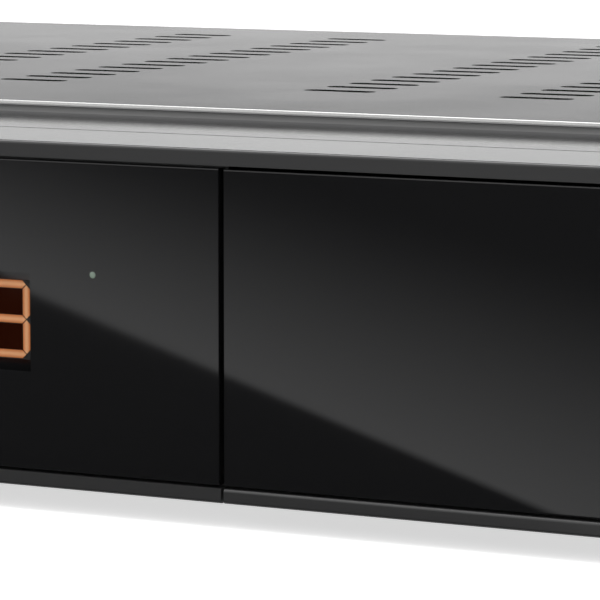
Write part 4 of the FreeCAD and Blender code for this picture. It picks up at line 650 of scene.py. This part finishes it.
# %% Shape the lens
LENS_RADIUS = 0.55 * MM
LENS_RISE = 0.10 * MM
LENS_SHIFT = 1.65 * MM
lens_x = (lamp_low.x + lamp_high.x) / 2 + LENS_SHIFT
lens_z = (lamp_low.z + lamp_high.z) / 2
nothing_selected()
bpy.ops.mesh.primitive_uv_sphere_add(segments=32, ring_count=16, radius=LENS_RADIUS)
lens_piece = bpy.context.object
lens_piece.name = "lamp_lens"
open_mesh()
bpy.ops.mesh.bisect(plane_co=(0, 0, 0), plane_no=(0, 0, -1), use_fill=True, clear_outer=True)
bpy.ops.mesh.select_all(action="SELECT")
bpy.ops.transform.resize(value=(1, 1, LENS_RISE / LENS_RADIUS), center_override=(0, 0, 0))
bpy.ops.object.mode_set(mode="OBJECT")
lens_piece.rotation_euler = (math.radians(90), 0, 0)
lens_piece.location = (lens_x, window_low.y, lens_z)
face_outward(settle(lens_piece))
smooth(lens_piece)
nothing_selected()
print("lens at x", round(lens_x / MM, 2), "z", round(lens_z / MM, 2))

# %% Light the lens and the lamp behind it
LENS_GLOW, LAMP_GLOW = 0.16, 0.8
lens_look = finish("lamp_lens", (0.13, 0.165, 0.135), (0.15, 0.19, 0.155), (0.08, 0.14), bump=0.0)
tree = lens_look["tree"]
off_x = maths(tree, "SUBTRACT", lens_look["at"][0], lens_x)
off_z = maths(tree, "SUBTRACT", lens_look["at"][2], lens_z)
off = maths(tree, "SQRT", maths(tree, "ADD", times(tree, off_x, off_x), times(tree, off_z, off_z)))
spark = soft_step(tree, off, LENS_RADIUS, LENS_RADIUS * 0.2)
set_shader(lens_look, Emission_Color=blend_colours(tree, spark, (0.05, 0.08, 0.055), (0.45, 0.58, 0.46)),
           Emission_Strength=LENS_GLOW)
lens_piece.data.materials.append(lens_look["material"])
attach(lens_piece, "case")
lamp = FINISHES["lamp_clear"].node_tree
inner = soft_step(lamp, place_of(lamp)[2], lamp_low.y + 1.5 * MM, lamp_low.y)
lamp.links.new(blend_colours(lamp, inner, (0.25, 0.35, 0.27), (0.62, 0.85, 0.66)),
               lamp.nodes["Principled BSDF"].inputs["Emission Color"])
lamp.nodes["Principled BSDF"].inputs["Emission Strength"].default_value = LAMP_GLOW
print("faces of the lens:", len(lens_piece.data.polygons))

# %% [markdown]
# ## Boards
# A circuit board is glass cloth under a green lacquer. Copper tracks run under the lacquer and lift it slightly,
# so they show as a lighter green maze. The borders between the cells of a square-cornered cell pattern give that
# maze.

# %% Green boards
TRACK_LIFT = 3.0
board = finish("board_green", (0.012, 0.075, 0.035), (0.016, 0.09, 0.042), (0.25, 0.35), scale=700.0, bump=0.004)
tree = board["tree"]
tracks = add(tree, "ShaderNodeTexVoronoi", feature="DISTANCE_TO_EDGE", distance="MANHATTAN",
             Vector=board["coordinates"], Scale=130.0)
line = soft_step(tree, tracks.outputs["Distance"], 0.09, 0.05)
set_shader(board, Base_Color=blend_colours(tree, line, board["grain"].outputs["Colour"], (0.03, 0.17, 0.07)))
set_relief(board, maths(tree, "ADD", board["grain"].outputs["Height"], times(tree, line, TRACK_LIFT)), 0.004)
wear("board_green", "display_board", "key_board", "main_board", "power_board")
print("boards: 4")

# %% [markdown]
# ## Heat sinks
# The fins are drawn aluminium. The drawing leaves fine lines along the bar, so the brush group roughens the metal
# across them.

# %% Drawn aluminium
fins = finish("aluminium_fins", (0.55, 0.56, 0.57), (0.6, 0.61, 0.62), (0.28, 0.34), scale=600.0, metallic=1.0)
tree = fins["tree"]
marks = add(tree, "ShaderNodeGroup", node_tree=BRUSH, Vector=fins["coordinates"])
set_shader(fins, Roughness=maths(tree, "ADD", fins["grain"].outputs["Roughness"],
                                 times(tree, marks.outputs[0], 0.2)))
wear("aluminium_fins", "heat_sink", "power_heat_sink")
print("heat sinks: 2")

# %% [markdown]
# ## Coils, cans, leads and coloured sockets
# Each of these carries a simple pattern that follows its place: turns of lacquered wire, the pale stripe and bare
# top of a capacitor, the strands of a ribbon, and one colour for each sound socket. All come from bands, from the
# direction of the surface, or from steps along it.

# %% The wound transformer and the ribbons
coil = finish("copper_coil", (0.30, 0.11, 0.04), (0.36, 0.14, 0.05), (0.28, 0.4))
tree = coil["tree"]
turns = add(tree, "ShaderNodeTexWave", bands_direction="Z", Vector=coil["coordinates"], Scale=420.0)
set_relief(coil, turns.outputs["Fac"], 0.2)
# Painted shade: the colour is darker in the grooves between the turns.
set_shader(coil, Base_Color=blend_colours(tree, turns.outputs["Fac"], (0.12, 0.045, 0.02),
                                          coil["grain"].outputs["Colour"]))
wear("copper_coil", "power_transformer")

ribbon = finish("lead_grey", (0.34, 0.35, 0.36), (0.4, 0.41, 0.42), (0.45, 0.6), scale=1200.0)
strands = add(ribbon["tree"], "ShaderNodeTexWave", bands_direction="X", Vector=ribbon["coordinates"], Scale=250.0)
set_relief(ribbon, strands.outputs["Fac"], 0.15)
wear("lead_grey", "ribbon_leads", "power_leads")
print("banded: transformer, ribbons and leads")

# %% Capacitor cans
cans = finish("capacitor_sleeve", (0.02, 0.024, 0.045), (0.026, 0.03, 0.055), (0.25, 0.35))
tree = cans["tree"]
facing = normal_of(tree)
top = soft_step(tree, facing[2], 0.75, 0.9)
stripe = soft_step(tree, facing[0], 0.86, 0.9)
marked = blend_colours(tree, stripe, cans["grain"].outputs["Colour"], (0.45, 0.46, 0.48))
set_shader(cans, Base_Color=blend_colours(tree, top, marked, (0.62, 0.62, 0.63)), Metallic=top)
wear("capacitor_sleeve", "board_capacitors")
print("cans: stripe and bare top")

# %% Colours of the sound sockets
STEP = 0.1 * MM
inserts = finish("insert_colours", (0.7, 0.45, 0.02), (0.75, 0.5, 0.03), (0.25, 0.35))
tree = inserts["tree"]
low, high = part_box("phono_inserts")
third = (high.x - low.x) / 3
to_white = soft_step(tree, inserts["at"][0], low.x + third - STEP, low.x + third)
to_red = soft_step(tree, inserts["at"][0], high.x - third - STEP, high.x - third)
pale = blend_colours(tree, to_white, inserts["grain"].outputs["Colour"], (0.72, 0.71, 0.68))
set_shader(inserts, Base_Color=blend_colours(tree, to_red, pale, (0.55, 0.02, 0.015)))
wear("insert_colours", "phono_inserts")
bare_parts = [name for name, part in nodes.items()
              if not part.data.materials or part.data.materials[0] is None]
print("parts without a finish:", bare_parts)

# %% [markdown]
# ## Finding the repeated pieces
# A part of the frame can hold several loose pieces, such as all the screws of the case. Their places and sizes
# are read from the mesh: corners that share edges belong to one piece.


# %% Loose pieces of a part
def loose_pieces(name):
    """The corners of each separate piece in a part of the frame."""
    mesh = nodes[name].data
    spots = {}
    home = [spots.setdefault(tuple(round(v, 7) for v in vertex.co), vertex.index) for vertex in mesh.vertices]
    parent = list(range(len(home)))

    def top_of(item):
        while parent[item] != item:
            parent[item] = parent[parent[item]]
            item = parent[item]
        return item

    for edge in mesh.edges:
        a, b = (top_of(home[index]) for index in edge.vertices)
        parent[max(a, b)] = min(a, b)
    groups = {}
    for vertex in mesh.vertices:
        groups.setdefault(top_of(home[vertex.index]), []).append(vertex.co.copy())
    return [groups[key] for key in sorted(groups)]


def limits(points):
    """The low and high corner of some points."""
    low = Vector([min(point[axis] for point in points) for axis in range(3)])
    high = Vector([max(point[axis] for point in points) for axis in range(3)])
    return low, high


print("case screws:", len(loose_pieces("case_screws")))

# %% [markdown]
# ## Screws with a cross recess
# The frame's screws are plain bodies. A screw that can be looked at closely has a cross recess, a rounded rim and
# a ridged shank. The head starts as a disc with its rim bevelled. Two crossed wedges are cut out of it. The shank
# grows out of the underside ring by ring, each ring a little wider or narrower than the last.


# %% Shape a screw
RIDGE = 0.55 * MM
RIDGE_DEPTH = 0.86
RIM_BEVEL = 0.45
ARM_LENGTH, ARM_WIDTH, ARM_DEPTH = 1.1, 0.24, 0.62
SHANK_START = 0.9


def wedge(name, length, width, depth, turn):
    """A cutter for one arm of the cross: a block that narrows downward."""
    nothing_selected()
    bpy.ops.mesh.primitive_cube_add(size=1)
    piece = bpy.context.object
    piece.name = name
    open_mesh()
    bpy.ops.transform.resize(value=(length, width, depth * 2), center_override=(0, 0, 0))
    choose(piece, lambda co: co.z < 0)
    bpy.ops.transform.resize(value=(0.55, 0.6, 1), center_override=(0, 0, 0))
    bpy.ops.mesh.select_all(action="SELECT")
    bpy.ops.transform.rotate(value=turn, orient_axis="Z", center_override=(0, 0, 0))
    bpy.ops.object.mode_set(mode="OBJECT")
    return piece


def cut_out(piece, cutter):
    """Take a cutter out of a piece, and drop the cutter."""
    nothing_selected()
    bpy.context.view_layer.objects.active = piece
    cut = piece.modifiers.new("cut", "BOOLEAN")
    cut.operation = "DIFFERENCE"
    cut.solver = "EXACT"
    cut.object = cutter
    bpy.ops.object.modifier_apply(modifier=cut.name)
    bpy.data.objects.remove(cutter)


def screw_master(name, head_radius, head_height, shank_radius, length):
    """A screw along Z with the top of its head at zero."""
    nothing_selected()
    bpy.ops.mesh.primitive_cylinder_add(vertices=32, radius=head_radius, depth=head_height,
                                        location=(0, 0, -head_height / 2))
    head = settle(bpy.context.object)
    bpy.ops.object.mode_set(mode="EDIT")
    choose(head, lambda co: co.z > -head_height / 2)
    bpy.ops.mesh.bevel(offset=head_height * RIM_BEVEL, segments=3, affect="EDGES")
    bpy.ops.object.mode_set(mode="OBJECT")
    for turn in (0, 90):
        cut_out(head, wedge("cross_arm", head_radius * ARM_LENGTH, head_radius * ARM_WIDTH,
                            head_height * ARM_DEPTH, math.radians(turn)))
    bpy.ops.mesh.primitive_circle_add(vertices=20, radius=shank_radius, fill_type="NGON",
                                      location=(0, 0, -head_height * SHANK_START))
    shank = settle(bpy.context.object)
    open_mesh()
    rings = max(2, int((length - head_height) / RIDGE) * 2)
    drop = (length - head_height * SHANK_START) / rings
    for ring in range(rings):
        bpy.ops.mesh.extrude_region_move(TRANSFORM_OT_translate={"value": (0, 0, -drop)})
        ratio = RIDGE_DEPTH if ring % 2 == 0 else 1 / RIDGE_DEPTH
        bpy.ops.transform.resize(value=(ratio, ratio, 1), center_override=(0, 0, 0))
    bpy.ops.object.mode_set(mode="OBJECT")
    return face_outward(join([head, shank], name))


# %% Set the same screw in many places
def read_screw(points):
    """The axis of a screw, its outward way (1 or -1), its head radius, shank radius, length and head top."""
    low, high = limits(points)
    span = high - low
    top = (low + high) / 2
    axis = min(range(3), key=lambda a: abs(span[(a + 1) % 3] - span[(a + 2) % 3]))
    middle = top.copy()
    radius = span[(axis + 1) % 3] / 2

    def off_axis(point):
        return math.dist(*[[v for a, v in enumerate(p) if a != axis] for p in (point, middle)])

    rim = [point[axis] for point in points if off_axis(point) > radius * 0.9]
    outward = 1 if sum(rim) / len(rim) > middle[axis] else -1
    tip, crown = (low, high) if outward > 0 else (high, low)
    shank = min(off_axis(p) for p in points if abs(p[axis] - tip[axis]) < 1e-6 and off_axis(p) > 1e-5)
    top[axis] = crown[axis]
    return axis, outward, radius, shank, span[axis], top


def same_screws(part, name, head_height):
    """Model the screws of a part once for each size, and set a copy in every place."""
    masters, placed = {}, []
    for points in loose_pieces(part):
        axis, outward, radius, shank, length, top = read_screw(points)
        key = (round(radius, 6), round(length, 6), round(shank, 6))
        if key not in masters:
            masters[key] = screw_master(name + "_master", radius, head_height, shank, length)
        way = Vector([outward if a == axis else 0 for a in range(3)])
        placed.append(placed_copy(masters[key], top, way.to_track_quat("Z", "Y").to_euler()))
    for master in masters.values():
        bpy.data.objects.remove(master)
    joined = face_outward(join(placed, name))
    only(joined)
    bpy.ops.object.shade_smooth_by_angle(angle=math.radians(35))
    print(name, "screws:", len(placed), "sizes:", len(masters), "faces:", len(joined.data.polygons))
    return joined


SCREW_SETS = (("case_screws", "cross_case_screws", "black_screw", 1.1 * MM),
              ("pan_head_screws", "cross_board_screws", "zinc_screw", 1.6 * MM),
              ("front_board_screws", "cross_small_screws", "zinc_screw", 1.1 * MM))
for part, name, look, head_height in SCREW_SETS:
    screws = same_screws(part, name, head_height)
    screws.data.materials.append(FINISHES[look])
    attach(screws, "case")
    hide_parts(part)

# %% [markdown]
# ## Contact springs
# Sockets look empty without their contacts. Each contact is a gilded strip of spring metal. It starts as a small
# rectangle that is drawn out along its path, leg after leg. One strip per kind of socket is shaped and then
# copied side by side.

# %% Shape a contact and set it in a row
gilt = finish("gilded", (0.72, 0.47, 0.17), (0.78, 0.53, 0.21), (0.16, 0.26), scale=1500.0, bump=0.001,
              metallic=1.0)


def spring_strip(name, path, width, thickness):
    """A strip of square section, drawn out along a path of (y, z) points."""
    nothing_selected()
    bpy.ops.mesh.primitive_plane_add(size=1, location=(0, 0, 0))
    piece = bpy.context.object
    piece.name = name
    open_mesh()
    bpy.ops.transform.resize(value=(width, thickness, 1), center_override=(0, 0, 0))
    lean = math.atan2(path[1][0] - path[0][0], path[1][1] - path[0][1])
    bpy.ops.transform.rotate(value=lean, orient_axis="X", center_override=(0, 0, 0))
    bpy.ops.transform.translate(value=(0, *path[0]))
    for a, b in zip(path, path[1:]):
        bpy.ops.mesh.extrude_region_move(TRANSFORM_OT_translate={"value": (0, b[0] - a[0], b[1] - a[1])})
    bpy.ops.mesh.select_all(action="SELECT")
    bpy.ops.mesh.normals_make_consistent(inside=False)
    bpy.ops.object.mode_set(mode="OBJECT")
    return piece


def row_of(master, places, name):
    """Copies of a strip at several x places, joined into one piece."""
    made = [placed_copy(master, (x, 0, 0)) for x in places]
    bpy.data.objects.remove(master)
    joined = face_outward(join(made, name))
    joined.data.materials.append(gilt["material"])
    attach(joined, "case")
    print(name, "contacts:", len(made))


# %% Contacts of the network socket
SPRINGS, SPRING_PITCH = 8, 1.02 * MM
PORT_FLOOR, PORT_CEILING, PORT_DEEP = 2.2 * MM, 10.2 * MM, 12.0 * MM
low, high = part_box("network_socket")
middle_x = (low.x + high.x) / 2
floor_z, ceiling_z, inner_y = low.z + PORT_FLOOR, low.z + PORT_CEILING, high.y - PORT_DEEP
path = [(high.y - 1.2 * MM, ceiling_z - 0.25 * MM), (high.y - 3.0 * MM, ceiling_z - 0.5 * MM),
        (inner_y + 1.2 * MM, floor_z + 3.0 * MM), (inner_y + 0.1 * MM, floor_z + 3.2 * MM)]
row_of(spring_strip("network_spring", path, 0.4 * MM, 0.25 * MM),
       [middle_x + (place - (SPRINGS - 1) / 2) * SPRING_PITCH for place in range(SPRINGS)], "network_springs")

# %% Contacts of the two serial bus sockets
SHELL = 0.6 * MM
STRIP_INSET, STRIP_LONG = 2.4 * MM, 8.0 * MM
STRIP_PLACES = (-3.5, -1.0, 1.0, 3.5)
for points in loose_pieces("usb_sockets"):
    low, high = limits(points)
    tongue = [point for point in points if abs(point.z - low.z) > SHELL and abs(point.z - high.z) > SHELL]
    strip_z = limits(tongue)[0].z - 0.1 * MM
    middle_x = (low.x + high.x) / 2
    faces_rear = high.y > 0
    y_out = (high.y - STRIP_INSET) if faces_rear else (low.y + STRIP_INSET)
    y_in = y_out + (-STRIP_LONG if faces_rear else STRIP_LONG)
    row_of(spring_strip("bus_strip", [(y_out, strip_z), (y_in, strip_z)], 1.0 * MM, 0.14 * MM),
           [middle_x + place * MM for place in STRIP_PLACES],
           "rear_bus_contacts" if faces_rear else "front_bus_contacts")

# %% Pins of the module slots
PINS, PIN_PITCH = 34, 1.27 * MM
for index, points in enumerate(loose_pieces("module_pin_blocks")):
    low, high = limits(points)
    middle_x = (low.x + high.x) / 2
    for row, height in (("upper", 0.64), ("lower", -0.64)):
        z = (low.z + high.z) / 2 + height * MM
        path = [(low.y + 0.5 * MM, z), (low.y - 3.2 * MM, z)]
        row_of(spring_strip("module_pin", path, 0.4 * MM, 0.4 * MM),
               [middle_x + (place - (PINS - 1) / 2) * PIN_PITCH for place in range(PINS)],
               "module_pins_%s_%d" % (row, index))

# %% [markdown]
# ## Windings of the choke
# The ring of the mains filter carries two coils of lacquered wire. One turn is a ring that is pulled into a tall
# oval round the wall of the core. Copies of it stand all round, with a gap between the two coils.

# %% Shape one turn of wire
WALL_OUT, WALL_IN, WIRE = 9.5 * MM, 4.0 * MM, 0.42 * MM
CORE_FOOT = 2.0 * MM
RING_WIRE = 0.1
core_points = max(loose_pieces("mains_filter"), key=lambda points: limits(points)[1].z)
low, high = limits(core_points)
core_middle = ((low.x + high.x) / 2, (low.y + high.y) / 2, (low.z + CORE_FOOT + high.z) / 2)
nothing_selected()
bpy.ops.mesh.primitive_torus_add(major_segments=28, minor_segments=8, major_radius=1.0, minor_radius=RING_WIRE,
                                 rotation=(math.radians(90), 0, 0))
turn_master = settle(bpy.context.object)
wide = (WALL_OUT - WALL_IN) / 2 + WIRE
tall = (high.z - low.z - CORE_FOOT) / 2 + WIRE
open_mesh()
bpy.ops.transform.resize(value=(wide, WIRE / RING_WIRE, tall), center_override=(0, 0, 0))
bpy.ops.transform.translate(value=((WALL_OUT + WALL_IN) / 2, 0, 0))
bpy.ops.object.mode_set(mode="OBJECT")
print("one turn:", round(wide * 2 / MM, 1), "by", round(tall * 2 / MM, 1), "mm")

# %% Wind the choke
TURNS, TURN_STEP = 14, 10
COIL_STARTS = (25, 205)
windings = [placed_copy(turn_master, core_middle, (0, 0, math.radians(coil_start + turn * TURN_STEP)))
            for coil_start in COIL_STARTS for turn in range(TURNS)]
bpy.data.objects.remove(turn_master)
choke_coils = face_outward(join(windings, "choke_coils"))
smooth(choke_coils)
wire_look = finish("lacquered_wire", (0.52, 0.16, 0.05), (0.6, 0.2, 0.06), (0.18, 0.28), scale=1500.0,
                   metallic=1.0)
choke_coils.data.materials.append(wire_look["material"])
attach(choke_coils, "case")
print("turns on the choke:", len(windings))

# %% [markdown]
# ## The studio
# The set is a pale table in a white room. The room is white to the camera and to mirrors, and gives a softer
# light of its own. A large soft lamp from above and a weaker one from the left shape the edges. The table keeps
# the shadow.


# %% Table
TABLE = 6.0
TABLE_GLOW = 0.62


def plane(name, corners):
    """A flat four-sided sheet."""
    data = bpy.data.meshes.new(name)
    data.from_pydata(corners, [], [(0, 1, 2, 3)])
    item = bpy.data.objects.new(name, data)
    bpy.context.scene.collection.objects.link(item)
    return item


def seen_directly(tree):
    """1 for rays from the camera, from mirrors and through glass."""
    paths = tree.nodes.new("ShaderNodeLightPath").outputs
    return maths(tree, "MAXIMUM", paths["Is Camera Ray"],
                 maths(tree, "MAXIMUM", paths["Is Glossy Ray"], paths["Is Transmission Ray"]))


table = plane("table", [(-TABLE, -TABLE, 0), (TABLE, -TABLE, 0), (TABLE, TABLE, 0), (-TABLE, TABLE, 0)])
table_finish = bpy.data.materials.new("table")
table_finish.use_nodes = True
tree = table_finish.node_tree
set_shader({"tree": tree, "shader": tree.nodes["Principled BSDF"]}, Base_Color=(0.86, 0.86, 0.86), Roughness=0.9,
           Specular_IOR_Level=0.0, Emission_Color=(1.0, 1.0, 1.0),
           Emission_Strength=times(tree, seen_directly(tree), TABLE_GLOW))
table.data.materials.append(table_finish)
print("table:", 2 * TABLE, "m wide")

# %% Room
SOFT_TONE = 0.55
room = bpy.data.worlds.new("room")
bpy.context.scene.world = room
room.use_nodes = True
tree = room.node_tree
ground = tree.nodes["Background"]
ground.inputs["Color"].default_value = (1.0, 1.0, 1.0, 1.0)
tree.links.new(maths(tree, "ADD", times(tree, seen_directly(tree), 1.0 - SOFT_TONE), SOFT_TONE),
               ground.inputs["Strength"])
print("room: light of strength", SOFT_TONE)


# %% Lamps
def soft_lamp(name, place, target, size, power):
    """A square soft lamp that looks at a point."""
    data = bpy.data.lights.new(name, "AREA")
    data.shape = "RECTANGLE"
    data.size, data.size_y = size
    data.energy = power
    lamp_object = bpy.data.objects.new(name, data)
    lamp_object.location = place
    lamp_object.rotation_euler = (Vector(target) - Vector(place)).to_track_quat("-Z", "Y").to_euler()
    bpy.context.scene.collection.objects.link(lamp_object)
    print(name, power, "W")


soft_lamp("overhead_lamp", (-0.3, -0.1, 1.5), (0, 0, 0), (1.6, 1.2), 16.0)
soft_lamp("left_lamp", (-1.6, -1.0, 0.9), (0, -0.1, 0.03), (1.0, 1.0), 7.0)

# %% [markdown]
# ## The card in front
# Black gloss shows what stands round it. In the photograph a slanting line crosses the face, grey above and black
# below. That is a reflection: a lit strip of card that lies on a dark table at 45 degrees in front of the
# receiver. The strip fades towards its far side. Only mirrors can see this card, so it never shows in the picture
# itself.

# %% Lay the card
STRIP_START = (0.100, -0.1686)
STRIP_WAY = (-0.728, -0.685)
STRIP_WIDTH = 0.150
STRIP_EDGE = 0.0015
STRIP_FADE = 1.7
CARD_HALF, CARD_DEEP, CARD_Z = 1.2, 1.4, 0.5 * MM


def for_mirrors_only(name, corners):
    """A glowing sheet that only mirrors can see; gives it with its light node."""
    sheet = plane(name, corners)
    material = bpy.data.materials.new(name)
    material.use_nodes = True
    tree = material.node_tree
    tree.nodes.remove(tree.nodes["Principled BSDF"])
    light = tree.nodes.new("ShaderNodeEmission")
    tree.links.new(light.outputs[0], tree.nodes["Material Output"].inputs[0])
    sheet.data.materials.append(material)
    for kind in ("camera", "diffuse", "transmission", "volume_scatter", "shadow"):
        setattr(sheet, "visible_" + kind, False)
    return sheet, light


card_near, card_far = face_y - 1.0 * MM, face_y - CARD_DEEP
card, light = for_mirrors_only("front_card", [(-CARD_HALF, card_far, CARD_Z), (CARD_HALF, card_far, CARD_Z),
                                              (CARD_HALF, card_near, CARD_Z), (-CARD_HALF, card_near, CARD_Z)])
tree = card.data.materials[0].node_tree
card_x, card_y = place_of(tree)[1:3]
off_line = maths(tree, "ADD", times(tree, maths(tree, "SUBTRACT", card_x, STRIP_START[0]), -STRIP_WAY[1]),
                 times(tree, maths(tree, "SUBTRACT", card_y, STRIP_START[1]), STRIP_WAY[0]))
lit_side = soft_step(tree, off_line, -STRIP_EDGE, STRIP_EDGE)
fade = maths(tree, "POWER", soft_step(tree, off_line, STRIP_WIDTH, 0.0), STRIP_FADE)
tree.links.new(times(tree, lit_side, fade), light.inputs["Strength"])
print("lit strip:", STRIP_WIDTH, "m wide")

# %% [markdown]
# ## The flag behind
# The cover is light at its rear edge and darker towards the front. A dark flag that hangs behind the table does
# this: the nearer a spot of the cover is to the front, the lower the flag stands in what it mirrors.

# %% Hang the flag
FLAG_Y, FLAG_LOW, FLAG_HIGH, FLAG_HALF, FLAG_TONE = 0.55, 0.142, 1.1, 1.6, 0.12
flag, light = for_mirrors_only("rear_flag", [(-FLAG_HALF, FLAG_Y, FLAG_LOW), (FLAG_HALF, FLAG_Y, FLAG_LOW),
                                             (FLAG_HALF, FLAG_Y, FLAG_HIGH), (-FLAG_HALF, FLAG_Y, FLAG_HIGH)])
light.inputs["Strength"].default_value = FLAG_TONE
print("flag hangs from", FLAG_LOW, "m up")
